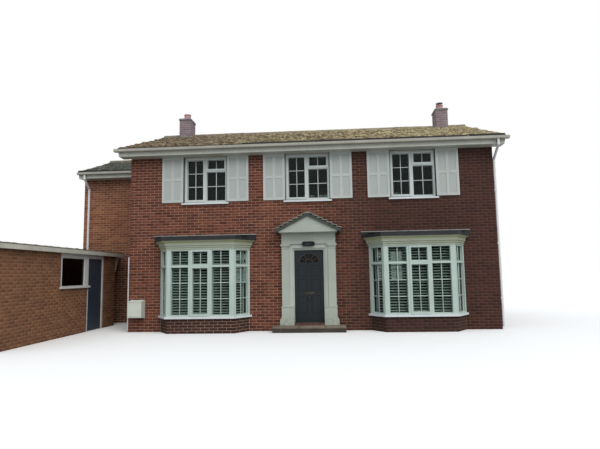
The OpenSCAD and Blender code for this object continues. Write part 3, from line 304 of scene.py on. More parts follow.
class Blank:
    """One object on the bench, started from a primitive and shaped with edit-mode operators."""

    def __init__(self, primitive: Callable[..., Any], scale: Sequence[float] = (1, 1, 1), **settings: Any) -> None:
        """Adds the primitive with nothing else selected.

        Args:
            primitive: The operator that adds it.
            scale: Its size in each direction.
            **settings: The operator's own settings.
        """
        bpy.ops.object.select_all(action="DESELECT")
        primitive(**settings)
        self.obj = bpy.context.active_object
        self.obj.scale = scale
        bpy.ops.object.transform_apply(location=True, rotation=True, scale=True)

    def pick(self, kind: Pick, test: Test) -> "Blank":
        """Selects by place.

        Args:
            kind: Points, edges or faces.
            test: Is given the middle of each and its normal, or an edge's direction.

        Returns:
            The blank itself.
        """
        if self.obj.mode == "EDIT":
            bpy.ops.object.mode_set(mode="OBJECT")
        mesh = self.obj.data
        for group in (mesh.vertices, mesh.edges, mesh.polygons):
            group.foreach_set("select", [False] * len(group))
        if kind is Pick.POINTS:
            for v in mesh.vertices:
                v.select = test(v.co, v.normal)
        elif kind is Pick.EDGES:
            for e in mesh.edges:
                a, b = (mesh.vertices[i].co for i in e.vertices)
                e.select = test((a + b) / 2, (b - a).normalized())
        else:
            for p in mesh.polygons:
                p.select = test(p.center, p.normal)
        bpy.context.tool_settings.mesh_select_mode = kind.value
        bpy.ops.object.mode_set(mode="EDIT")
        return self

    def all(self) -> "Blank":
        """Selects the whole mesh.

        Returns:
            The blank itself.
        """
        if self.obj.mode != "EDIT":
            bpy.ops.object.mode_set(mode="EDIT")
        bpy.ops.mesh.select_all(action="SELECT")
        return self

    def do(self, operator: Callable[..., Any], **settings: Any) -> "Blank":
        """Runs an edit-mode operator on what is selected."""
        operator(**settings)
        return self

    def bevel(self, width: float, segments: int = 1) -> "Blank":
        """Eases the selected edges."""
        return self.do(bpy.ops.mesh.bevel, offset=width, segments=segments, affect="EDGES")

    def extrude(self, y: float = 0.0, z: float = 0.0) -> "Blank":
        """Draws the selection out by a distance."""
        return self.do(bpy.ops.mesh.extrude_region_move, TRANSFORM_OT_translate={"value": (0, y, z)})

    def shift(self, x: float = 0.0, y: float = 0.0, z: float = 0.0) -> "Blank":
        """Moves the selection by a distance."""
        return self.do(bpy.ops.transform.translate, value=(x, y, z))

    def cut_below(self, height: float, fill: bool = True) -> "Blank":
        """Cuts the mesh off below a height, and closes the cut or leaves it open."""
        cut = {"plane_co": (0, 0, height), "plane_no": (0, 0, 1), "use_fill": fill, "clear_inner": True}
        return self.all().do(bpy.ops.mesh.bisect, **cut)

    def facing_out(self) -> "Blank":
        """Turns all faces outwards."""
        return self.all().do(bpy.ops.mesh.normals_make_consistent, inside=False)

    def modifier(self, kind: str, **settings: Any) -> "Blank":
        """Adds a modifier and applies it.

        Args:
            kind: Its type.
            **settings: Its own settings.

        Returns:
            The blank itself.
        """
        if self.obj.mode == "EDIT":
            bpy.ops.object.mode_set(mode="OBJECT")
        made = self.obj.modifiers.new(kind.lower(), kind)
        for key, value in settings.items():
            setattr(made, key, value)
        bpy.ops.object.modifier_apply(modifier=made.name)
        return self

    def shape(self) -> Shape:
        """Takes the finished mesh off the bench.

        Returns:
            The shape.
        """
        if self.obj.mode == "EDIT":
            bpy.ops.object.mode_set(mode="OBJECT")
        return Shape.of(self.obj)


def arrised_box(x: float, y: float, z: float, arris: float, segments: int = 1) -> Shape:
    """A box with all its edges eased.

    Args:
        x: Its length.
        y: Its depth.
        z: Its height.
        arris: The width of the eased edges.
        segments: The number of faces across an edge.
    """
    blank = Blank(bpy.ops.mesh.primitive_cube_add, scale=(x, y, z), size=1)
    return blank.pick(Pick.EDGES, lambda m, d: True).bevel(arris, segments).shape()


def turned(outline: Sequence[tuple[float, float]], vertices: int) -> Shape:
    """A turned piece about Z, drawn up step by step from its first circle.

    Args:
        outline: The radius and the height of each circle.
        vertices: The number of points round each circle.

    Returns:
        The piece.
    """
    radius, height = outline[0]
    circle = {"vertices": vertices, "radius": radius, "fill_type": "NOTHING", "location": (0, 0, height)}
    blank = Blank(bpy.ops.mesh.primitive_circle_add, **circle).all()
    for r, z in outline[1:]:
        blank.extrude(z=z - height).do(bpy.ops.transform.resize, value=(r / radius, r / radius, 1))
        radius, height = r, z
    return blank.facing_out().shape()


def moulded_ring(width: float, depth: float, arris: float) -> Shape:
    """An upright rectangular ring of moulding, to be stretched to its panel.

    Args:
        width: The width of the moulding in the ring's face.
        depth: How far the moulding stands from back to front.
        arris: The width of its slanting outer edge.

    Returns:
        The ring.
    """
    blank = Blank(bpy.ops.mesh.primitive_plane_add, size=1, rotation=UPRIGHT).all()
    blank.do(bpy.ops.mesh.inset, thickness=width, depth=0).do(bpy.ops.mesh.delete, type="FACE")
    blank.modifier("SOLIDIFY", thickness=depth, offset=-1)
    blank.pick(Pick.EDGES, lambda m, d: m.y < 1e-4).bevel(arris, 2)
    return blank.facing_out().shape()


def facing_front(middle: Vector, normal: Vector) -> bool:
    """Whether a face looks to the front."""
    return normal.y < -0.9


def round_lock(vertices: int, radius: float, sink: float) -> Shape:
    """A round lock that faces the front, its middle sunk.

    Args:
        vertices: The number of points round it.
        radius: Its radius.
        sink: How deep its middle lies.

    Returns:
        The lock about the origin.
    """
    round_bar = {"vertices": vertices, "radius": radius, "depth": 0.012, "rotation": UPRIGHT}
    lock = Blank(bpy.ops.mesh.primitive_cylinder_add, **round_bar).pick(Pick.FACES, facing_front)
    return lock.do(bpy.ops.mesh.inset, thickness=0.006).extrude(y=sink).shape()


def make_piece(
    name: str,
    shape: Shape,
    slot: str,
    finish: bpy.types.Material,
    body: Body = Body.HOUSE,
    smooth: float | None = None,
    replaces: Sequence[str] = (),
) -> bpy.types.Object:
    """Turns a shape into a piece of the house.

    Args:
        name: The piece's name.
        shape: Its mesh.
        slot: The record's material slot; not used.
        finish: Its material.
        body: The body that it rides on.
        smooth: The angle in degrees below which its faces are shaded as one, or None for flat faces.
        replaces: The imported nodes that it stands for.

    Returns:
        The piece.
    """
    mesh = bpy.data.meshes.new(name)
    mesh.vertices.add(len(shape.points))
    mesh.vertices.foreach_set("co", shape.points.astype(np.float32).ravel())
    mesh.loops.add(len(shape.corners))
    mesh.loops.foreach_set("vertex_index", shape.corners.astype(np.int32))
    mesh.polygons.add(len(shape.counts))
    starts = np.concatenate([[0], np.cumsum(shape.counts)[:-1]]).astype(np.int32)
    mesh.polygons.foreach_set("loop_start", starts)
    mesh.update(calc_edges=True)
    mesh.validate()
    tone = mesh.attributes.new("tone", "FLOAT_COLOR", "POINT")
    tone.data.foreach_set("color", shape.tone.astype(np.float32).ravel())
    mesh.materials.append(finish)
    obj = bpy.data.objects.new(name, mesh)
    bpy.context.scene.collection.objects.link(obj)
    if smooth is not None:
        bpy.ops.object.select_all(action="DESELECT")
        obj.select_set(True)
        bpy.context.view_layer.objects.active = obj
        bpy.ops.object.shade_smooth_by_angle(angle=math.radians(smooth))
    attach(obj, body.value)
    if replaces:
        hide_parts(*replaces)
    LOG.info("%s: %d faces", name, len(mesh.polygons))
    return obj


class Finish(Protocol):
    """A finish that can be made into a material."""

    def make(self) -> bpy.types.Material:
        """Builds the material."""


def dress(finish: Finish, *nodes: str) -> bpy.types.Material:
    """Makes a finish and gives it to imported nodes.

    Args:
        finish: The finish.
        *nodes: The names of the nodes.

    Returns:
        Its material, for the pieces that share it.
    """
    material = finish.make()
    for name in nodes:
        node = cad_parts[name]
        if not node.material_slots:
            node.data.materials.append(material)
        for place in node.material_slots:
            place.material = material
    return material


def linear(colour: str) -> tuple[float, float, float, float]:
    """An sRGB hex colour as linear values.

    Args:
        colour: Six hex digits after a hash.

    Returns:
        Red, green, blue and 1.
    """
    parts = [int(colour[i : i + 2], 16) / 255 for i in (1, 3, 5)]
    r, g, b = [c / 12.92 if c <= 0.04045 else ((c + 0.055) / 1.055) ** 2.4 for c in parts]
    return r, g, b, 1.0


def feed(tree: bpy.types.NodeTree, node: bpy.types.Node, inputs: dict[str | int, Any]) -> None:
    """Sets or links the inputs of a node.

    Args:
        tree: The node tree.
        node: The node.
        inputs: A value or another node's output for each named or numbered input.
    """
    for key, value in inputs.items():
        if isinstance(value, bpy.types.NodeSocket):
            tree.links.new(value, node.inputs[key])
        else:
            node.inputs[key].default_value = value


def add_node(
    tree: bpy.types.NodeTree,
    kind: str,
    inputs: dict[str | int, Any] | None = None,
    stops: Sequence[tuple[float, str]] = (),
    **settings: Any,
) -> bpy.types.Node:
    """Adds a node with its settings and links.

    Args:
        tree: The node tree.
        kind: The node's type name without its ShaderNode.
        inputs: A value or another node's output for each named or numbered input.
        stops: Positions and hex colours for a colour ramp.
        **settings: The node's own settings.

    Returns:
        The node.
    """
    node = tree.nodes.new("ShaderNode" + kind)
    for key, value in settings.items():
        setattr(node, key, value)
    feed(tree, node, inputs or {})
    if stops:
        elements = node.color_ramp.elements
        while len(elements) > 1:
            elements.remove(elements[-1])
        for i, (place, colour) in enumerate(stops):
            element = elements[0] if i == 0 else elements.new(place)
            element.position = place
            element.color = linear(colour)
    return node


def even_stops(colours: Sequence[str]) -> list[tuple[float, str]]:
    """Colours spread evenly over a ramp."""
    return [(i / (len(colours) - 1), c) for i, c in enumerate(colours)]


class Coat:
    """A material on the bench: its nodes, its shader and the colour laid so far."""

    def __init__(self, name: str, colour: Any = None) -> None:
        """Starts a material.

        Args:
            name: The material's name.
            colour: Its first colour, as hex.
        """
        self.material = bpy.data.materials.new(name)
        self.material.use_nodes = True
        self.tree = self.material.node_tree
        self.shader = self.tree.nodes["Principled BSDF"]
        self.colour = colour

    def sum(self, operation: str, a: Any, b: Any) -> bpy.types.NodeSocket:
        """What an operation makes of two values."""
        return add_node(self.tree, "Math", {0: a, 1: b}, operation=operation).outputs[0]

    def place(self) -> bpy.types.NodeSocket:
        """The place in the piece's own directions."""
        return add_node(self.tree, "TexCoord").outputs["Object"]

    def axis(self, name: str) -> bpy.types.NodeSocket:
        """The place along X, Y or Z."""
        return add_node(self.tree, "SeparateXYZ", {"Vector": self.place()}).outputs[name]

    def chance(self, name: str) -> bpy.types.NodeSocket:
        """A copy's own chance value, by the name of its colour."""
        tone = add_node(self.tree, "Attribute", attribute_name="tone").outputs["Color"]
        return add_node(self.tree, "SeparateColor", {"Color": tone}).outputs[name]

    def ramp(self, value: bpy.types.NodeSocket, stops: Sequence[tuple[float, str]]) -> bpy.types.NodeSocket:
        """The colour of a ramp at a value."""
        return add_node(self.tree, "ValToRGB", {"Fac": value}, stops=stops).outputs["Color"]

    def spread(
        self, value: bpy.types.NodeSocket, low: float, high: float, top: float = 1.0, **settings: Any
    ) -> bpy.types.NodeSocket:
        """A value drawn out to run from 0 to a top.

        Args:
            value: The value.
            low: What becomes 0.
            high: What becomes the top.
            top: The top.
            **settings: The node's own settings.

        Returns:
            The output of the new value.
        """
        inputs = {"Value": value, "From Min": low, "From Max": high, "To Max": top}
        return add_node(self.tree, "MapRange", inputs, **settings).outputs["Result"]

    def noise(
        self, scale: float, detail: float, stretch: Sequence[float] | None = None, roughness: float = 0.5
    ) -> bpy.types.NodeSocket:
        """Noise in the piece's own place.

        Args:
            scale: How many grains there are to a metre.
            detail: How ragged they are.
            stretch: How many times finer they are along X, Y and Z, or None where they are round.
            roughness: The strength of the finer grains.

        Returns:
            The output of the noise.
        """
        where = self.place()
        if stretch is not None:
            where = add_node(self.tree, "Mapping", {"Vector": where, "Scale": stretch}).outputs["Vector"]
        inputs = {"Vector": where, "Scale": scale, "Detail": detail, "Roughness": roughness}
        return add_node(self.tree, "TexNoise", inputs).outputs["Fac"]

    def patches(
        self, size: float, low: float, high: float, detail: float = 4.0, strength: float = 1.0
    ) -> bpy.types.NodeSocket:
        """Patches of wear in the piece's own place.

        Args:
            size: The width of a patch in metres.
            low: The noise value at which patches begin.
            high: The noise value at which they are full.
            detail: How ragged the patches are.
            strength: The value of a full patch.

        Returns:
            The output of the value, from 0 to the strength.
        """
        return self.spread(self.noise(1 / size, detail, roughness=0.6), low, high, strength)

    def blend(self, share: Any, below: Any, above: Any) -> bpy.types.NodeSocket:
        """A colour laid over another.

        Args:
            share: How much of the upper one shows.
            below: The lower colour, a hex colour or an output.
            above: The upper colour.

        Returns:
            The output of the colour.
        """
        ends = [linear(c) if isinstance(c, str) else c for c in (below, above)]
        return add_node(self.tree, "Mix", {0: share, 6: ends[0], 7: ends[1]}, data_type="RGBA").outputs[2]

    def lay(self, share: Any, colour: Any) -> None:
        """Lays a share of a colour over what is there."""
        self.colour = self.blend(share, self.colour, colour)

    def done(self, surface: dict[str, Any], grain: tuple[float, float, float, float]) -> bpy.types.Material:
        """Gives the shader its colour, surface and grain.

        Args:
            surface: A value or an output for the shader's inputs by name.
            grain: The grains to a metre, their detail, and the strength and the height of their bumps.

        Returns:
            The material.
        """
        scale, detail, strength, height = grain
        bumps = {"Height": self.noise(scale, detail), "Strength": strength, "Distance": height}
        normal = add_node(self.tree, "Bump", bumps).outputs["Normal"]
        feed(self.tree, self.shader, {"Base Color": self.colour, "Normal": normal, **surface})
        return self.material


@dataclass(frozen=True)
class FacingBrick:
    """Fired clay facing bricks: matt, each of its own shade, mottled by the kiln, with painted shade under the eaves,
    towards the trees and low in shaded corners.

    Attributes:
        name: The material's name.
        shades: The hex colours that the bricks vary between.
        dark: The colour of the dark patches.
        eaves_shade_from: The height from which painted shade, with some weathering, darkens the wall under the eaves.
        dust: The colour of the lime and dust on the faces.
        patchy: How strongly kiln marks, odd bricks and weather show, from 0 to 1.
        tree_shade_x: The X from which painted shade of the trees darkens the wall; beyond the house for none.
        low_shade: The height below which painted shade darkens the wall; under the ground for none.
    """

    name: str
    shades: tuple[str, ...] = ("#4f2820", "#5b3025", "#643629", "#6e3d2e", "#764231", "#562c26")
    dark: str = "#3b2320"
    eaves_shade_from: float = 4.2
    dust: str = "#96735e"
    patchy: float = 1.0
    tree_shade_x: float = 90.0
    low_shade: float = -9.0

    def make(self) -> bpy.types.Material:
        """Builds the material.

        Returns:
            The material.
        """
        coat = Coat(self.name)
        coat.colour = coat.ramp(coat.chance("Red"), even_stops(self.shades))
        # Kiln marks are some 45 mm across, lime dust 20 mm, and weather comes in patches of 1.3 m.
        coat.lay(coat.patches(0.045, 0.52, 0.78, strength=0.8 * self.patchy), self.dark)
        coat.lay(coat.spread(coat.chance("Green"), 0.9, 0.99, 0.5 * self.patchy), self.dark)
        coat.lay(coat.patches(0.02, 0.62, 0.8), self.dust)
        coat.lay(coat.patches(1.3, 0.42, 0.72, strength=0.3 * self.patchy), self.dark)
        # Painted shade under the eaves, with some weathering.
        coat.lay(coat.spread(coat.axis("Z"), self.eaves_shade_from, EAVES_SHADE_Z, 0.35), "#2b1d20")
        # Painted shade of the trees, darker towards the right.
        coat.lay(coat.spread(coat.axis("X"), self.tree_shade_x, self.tree_shade_x + TREE_SHADE_REACH, 0.7), "#2a1c1b")
        # Painted shade low down, where the wall stands in a shaded corner.
        soft = {"interpolation_type": "SMOOTHSTEP"}
        coat.lay(coat.spread(coat.axis("Z"), self.low_shade, self.low_shade - LOW_SHADE_REACH, 0.55, **soft), "#2b1f1a")
        return coat.done({"Roughness": 0.88, "Specular IOR Level": 0.25}, (260.0, 3.0, 0.35, 0.002))


@dataclass(frozen=True)
class Mortar:
    """Sand and lime mortar: pale, gritty, stained by the bricks, with painted shade of the trees, and plaster painted
    dark as shade of the unlit rooms.

    Attributes:
        name: The material's name.
        colour: The clean joints' colour.
        stain: The stained joints' colour.
        plaster: The colour on the inside of the outer walls, dark as painted shade of the unlit rooms.
        tree_shade_x: The X from which painted shade of the trees darkens the wall; beyond the house for none.
        inside: The box of the rooms as low x, high x, low y and high y, or None where there are none.
    """

    name: str
    colour: str = "#a98d73"
    stain: str = "#856b58"
    plaster: str = "#2b2925"
    tree_shade_x: float = 90.0
    inside: tuple[float, float, float, float] | None = None

    def make(self) -> bpy.types.Material:
        """Builds the material.

        Returns:
            The material.
        """
        coat = Coat(self.name, self.colour)
        coat.lay(coat.patches(0.35, 0.35, 0.7), self.stain)
        # Painted shade of the trees, darker towards the right.
        coat.lay(coat.spread(coat.axis("X"), self.tree_shade_x, self.tree_shade_x + TREE_SHADE_REACH, 0.76), "#33261f")
        # The plaster inside is painted dark, as shade of the unlit rooms.
        if self.inside is not None:
            x0, x1, y0, y1 = self.inside
            share: Any = 1.0
            for axis, low, high in (("X", x0, x1), ("Y", y0, y1)):
                for test, edge in (("GREATER_THAN", low), ("LESS_THAN", high)):
                    share = coat.sum("MULTIPLY", coat.sum(test, coat.axis(axis), edge), share)
            coat.lay(share, self.plaster)
        # Sand grains of 2 mm, drawn at 5 mm so that they show.
        return coat.done({"Roughness": 0.92}, (200.0, 2.0, 0.4, 0.003))


@dataclass(frozen=True)
class MossyTile:
    """Pressed concrete tiles under moss and lichen: matt, golden green in patches, with painted shadow in dark
    streaks along the courses.

    Attributes:
        name: The material's name.
        tile: The bare tile's colours.
        moss: The moss's colours, from dark to bright.
        cover: The noise value at which moss begins; lower is more moss.
        lichen: The colour of the lichen spots.
        dry: The colour of the broad dry patches.
        golden: The colour of the moss on the right.
    """

    name: str
    tile: tuple[str, str] = ("#362a23", "#57473b")
    moss: tuple[str, str, str] = ("#43382e", "#766955", "#958971")
    cover: float = 0.42
    lichen: str = "#a09886"
    dry: str = "#7a6858"
    golden: str = "#c6bb8c"

    def make(self) -> bpy.types.Material:
        """Builds the material.

        Returns:
            The material.
        """
        coat = Coat(self.name)
        coat.colour = coat.blend(coat.chance("Red"), *self.tile)
        green = coat.ramp(coat.patches(0.11, 0.3, 0.72, 6.0), tuple(zip((0.0, 0.55, 1.0), self.moss)))
        coat.lay(coat.patches(0.3, self.cover - 0.08, self.cover + 0.08, 6.0), green)
        coat.lay(coat.patches(0.05, 0.66, 0.7), self.lichen)
        coat.lay(coat.patches(1.1, 0.42, 0.62, strength=0.55), self.dry)
        # Golden moss thickens to the right, under the tree, in tufts of many tones.
        right = coat.spread(coat.axis("X"), -3.8, 1.5, 0.85)
        tufted = coat.blend(coat.patches(0.07, 0.35, 0.65, 5.0), self.moss[2], self.golden)
        coat.lay(coat.sum("MULTIPLY", right, coat.patches(0.22, 0.32, 0.6, 5.0)), tufted)
        # Painted shadow: dark streaks run along the courses under the tile tails, some 150 mm long and 30 mm high.
        shadow_dashes = coat.noise(1.0, 3.0, stretch=(6.0, 14.0, 30.0))
        coat.lay(coat.spread(shadow_dashes, 0.55, 0.66, 0.75), self.moss[0])
        # Moss tufts are about 8 mm wide and high.
        return coat.done({"Roughness": 0.95, "Specular IOR Level": 0.2}, (120.0, 4.0, 0.6, 0.008))


@dataclass(frozen=True)
class Paint:
    """Brushed gloss paint or moulded plastic outdoors: smooth, slightly uneven, with grime in rain streaks.

    Attributes:
        name: The material's name.
        colour: The clean colour.
        shade: The colour of the faded patches.
        grime: The colour of the streaks and of the algae.
        dirt: How much grime there is, from 0 to 1.
        rough: The roughness.
        shine: How strongly it mirrors.
        algae: The height below which algae grows, or None.
        sunk: The Y behind which its sunk panels take painted shade, and the shade's colour, or None.
        band: The height from which it is stained and the stain's colour, or None.
    """

    name: str
    colour: str
    shade: str
    grime: str = "#6f7464"
    dirt: float = 0.35
    rough: float = 0.42
    shine: float = 0.4
    algae: float | None = None
    sunk: tuple[float, str] | None = None
    band: tuple[float, str] | None = None

    def make(self) -> bpy.types.Material:
        """Builds the material.

        Returns:
            The material.
        """
        coat = Coat(self.name, self.colour)
        coat.lay(coat.patches(0.5, 0.3, 0.7), self.shade)
        # Sunk panels behind a Y take painted shade; a band above a height is a stain.
        for axis, rule in (("Y", self.sunk), ("Z", self.band)):
            if rule is not None:
                coat.lay(coat.sum("GREATER_THAN", coat.axis(axis), rule[0]), rule[1])
        # Rain streaks are about 30 mm wide and half a metre long.
        streaks = coat.noise(1.0, 4.0, stretch=(30.0, 30.0, 2.0))
        coat.lay(coat.spread(streaks, 0.5, 0.78, self.dirt), self.grime)
        if self.algae is not None:
            low = coat.spread(coat.axis("Z"), self.algae, 0.12, 0.7)
            coat.lay(coat.sum("MULTIPLY", low, coat.patches(0.07, 0.46, 0.66)), "#5f6b45")
        uneven = {"Value": streaks, "To Min": self.rough - 0.06, "To Max": self.rough + 0.12}
        rough = add_node(coat.tree, "MapRange", uneven).outputs["Result"]
        # Brush marks and orange peel, about 6 mm apart.
        return coat.done({"Roughness": rough, "Specular IOR Level": self.shine}, (160.0, 2.0, 0.12, 0.001))


@dataclass(frozen=True)
class Weathered:
    """Lead, slate, stone, concrete, terracotta or felt: matt, patchy, gritty.

    Attributes:
        name: The material's name.
        colours: The colours from the darkest to the palest patches.
        patch: The width of a patch in metres.
        grain: The width of the surface grain in metres.
        depth: The height of the grain in metres.
        rough: The roughness.
        metallic: 1 for bare metal.
        spots: The colour of lichen and other spots.
        spotted: The noise value at which spots begin; above 0.8 there are none.
    """

    name: str
    colours: tuple[str, ...]
    patch: float = 0.25
    grain: float = 0.006
    depth: float = 0.002
    rough: float = 0.8
    metallic: float = 0.0
    spots: str = "#8f8f80"
    spotted: float = 0.68

    def make(self) -> bpy.types.Material:
        """Builds the material.

        Returns:
            The material.
        """
        coat = Coat(self.name)
        coat.colour = coat.ramp(coat.patches(self.patch, 0.28, 0.72, 6.0), even_stops(self.colours))
        coat.lay(coat.spread(coat.chance("Red"), 0.0, 1.0, 0.4), self.colours[0])
        coat.lay(coat.patches(0.035, self.spotted, self.spotted + 0.06), self.spots)
        surface = {"Roughness": self.rough, "Metallic": self.metallic}
        return coat.done(surface, (1 / self.grain, 4.0, 0.5, self.depth))


@dataclass(frozen=True)
class WindowGlass:
    """Float glass: flat and clear with a faint green tint, and lamps reach the room behind it.

    Attributes:
        name: The material's name.
        tint: The colour of what is seen through it.
        mirror: The colour that its reflections take from the trees before the house.
    """

    name: str = "float_glass"
    tint: str = "#84918b"
    mirror: str = "#b0b6ad"

    def make(self) -> bpy.types.Material:
        """Builds the material.

        Returns:
            The material.
        """
        coat = Coat(self.name)
        tint = linear(self.tint)
        surface = {"Base Color": tint, "Roughness": 0.0, "IOR": 1.45, "Transmission Weight": 1.0}
        feed(coat.tree, coat.shader, {**surface, "Specular Tint": linear(self.mirror)})
        path = add_node(coat.tree, "LightPath").outputs
        lamp = coat.sum("MAXIMUM", path["Is Shadow Ray"], path["Is Diffuse Ray"])
        clear = add_node(coat.tree, "BsdfTransparent", {"Color": tint}).outputs["BSDF"]
        mix = add_node(coat.tree, "MixShader", {0: lamp, 1: coat.shader.outputs["BSDF"], 2: clear})
        coat.tree.links.new(mix.outputs["Shader"], coat.tree.nodes["Material Output"].inputs["Surface"])
        return coat.material


def level(height: float) -> Callable[[float], float]:
    """A wall's top that is level."""
    return lambda u: height


@dataclass(frozen=True)
class WallFace:
    """One face of stretcher bond.

    Attributes:
        plane: Where the face starts and runs.
        length: Its length.
        top: The height of its top at a distance along it.
        openings: Places without bricks, as low and high distance along, low and high height.
        foot: The height of its lowest course.
        odd: Whether its even courses start with a half brick.
        over: How far the corner bricks stand past each end.
        start: The height below which no brick is laid, at a distance along it.
    """

    plane: Plane
    length: float
    top: Callable[[float], float]
    openings: tuple[tuple[float, float, float, float], ...] = ()
    foot: float = 0.0
    odd: bool = False
    over: float = 0.0
    start: Callable[[float], float] | None = None


@dataclass
class Brickwork:
    """Lays facing bricks on the faces of a wall, which serves as their mortar.

    Attributes:
        brick_l: The length of a brick's face.
        brick_h: The height of a brick's face.
        joint: The width of the joints.
        proud: How far the bricks stand out of the mortar.
        sunk: How far they reach into it.
        arris: The width of their worn edges.
        least: The least length or height of a cut brick.
    """

    brick_l: float = 0.215
    brick_h: float = 0.065
    joint: float = 0.010
    proud: float = 0.004
    sunk: float = 0.006
    arris: float = 0.0025
    least: float = 0.014
    rng: np.random.Generator = seeded(7)

    def brick(self) -> Shape:
        """One brick with its front edges worn.

        Returns:
            The brick about the origin.
        """
        depth = self.proud + self.sunk
        blank = Blank(bpy.ops.mesh.primitive_cube_add, scale=(self.brick_l, depth, self.brick_h), size=1)
        return blank.pick(Pick.EDGES, lambda m, d: m.y < -depth / 2 + 1e-4).bevel(self.arris).shape()

    def cut(self, rects: list[list[float]], opening: Sequence[float]) -> list[list[float]]:
        """What is left of bricks beside, under and over an opening.

        Args:
            rects: The bricks as low and high distance along, low and high height.
            opening: The opening in the same way.

        Returns:
            The bricks that are left, in the same way.
        """
        left: list[list[float]] = []
        o0, o1, p0, p1 = opening
        for u0, u1, z0, z1 in rects:
            if u1 <= o0 or u0 >= o1 or z1 <= p0 or z0 >= p1:
                left.append([u0, u1, z0, z1])
                continue
            if u0 < o0:
                left.append([u0, o0, z0, z1])
            if u1 > o1:
                left.append([o1, u1, z0, z1])
            if z0 < p0:
                left.append([max(u0, o0), min(u1, o1), z0, p0])
            if z1 > p1:
                left.append([max(u0, o0), min(u1, o1), p1, z1])
        return [r for r in left if r[1] - r[0] >= self.least and r[3] - r[2] >= self.least]

    def courses(self, face: WallFace) -> tuple[list[Box], list[tuple[float, float]]]:
        """The bricks of a face.

        Args:
            face: The face.

        Returns:
            The bricks' boxes in the face's own directions, and how much lower their tops lie at their ends.
        """
        boxes: list[Box] = []
        falls: list[tuple[float, float]] = []
        highest = max(face.top(face.length * k / 20) for k in range(21))
        course, step = self.brick_h + self.joint, self.brick_l + self.joint
        number = 0
        z = face.foot
        while z < highest - self.least:
            u = -step / 2 if (number % 2 == 0) == face.odd else 0.0
            while u < face.length - self.least:
                rects = [[max(u, 0.0), min(u + self.brick_l, face.length), z, z + self.brick_h]]
                for opening in face.openings:
                    rects = self.cut(rects, opening)
                for rect in rects:
                    self._place(face, rect, boxes, falls)
                u += step
            number += 1
            z += course
        return boxes, falls

    def _place(
        self, face: WallFace, rect: Sequence[float], boxes: list[Box], falls: list[tuple[float, float]]
    ) -> None:
        """Adds one brick, cut under a sloping top.

        Args:
            face: The face it lies in.
            rect: Its low and high distance along, low and high height.
            boxes: The bricks so far.
            falls: Their tops' falls so far.
        """
        u0, u1, z0, z1 = rect
        while u1 - u0 > self.least and face.top(u0) < z0 + self.least:
            u0 += 0.01
        while u1 - u0 > self.least and face.top(u1) < z0 + self.least:
            u1 -= 0.01
        if u1 - u0 <= self.least or (face.start is not None and z1 < face.start((u0 + u1) / 2)):
            return
        a = u0 - face.over if u0 < 1e-6 else u0
        b = u1 + face.over if u1 > face.length - 1e-6 else u1
        boxes.append((a, -self.proud, z0, b, self.sunk, z1))
        falls.append((min(0.0, face.top(u0) - z1), min(0.0, face.top(u1) - z1)))

    def lay(self, faces: Sequence[WallFace]) -> Shape:
        """All bricks of several faces as one shape.

        Args:
            faces: The faces.

        Returns:
            The bricks.
        """
        brick = self.brick()
        parts = []
        for face in faces:
            boxes, falls = self.courses(face)
            parts.append(brick.stretched(boxes, self.rng, np.array(falls)).on(face.plane))
        return joined(parts)


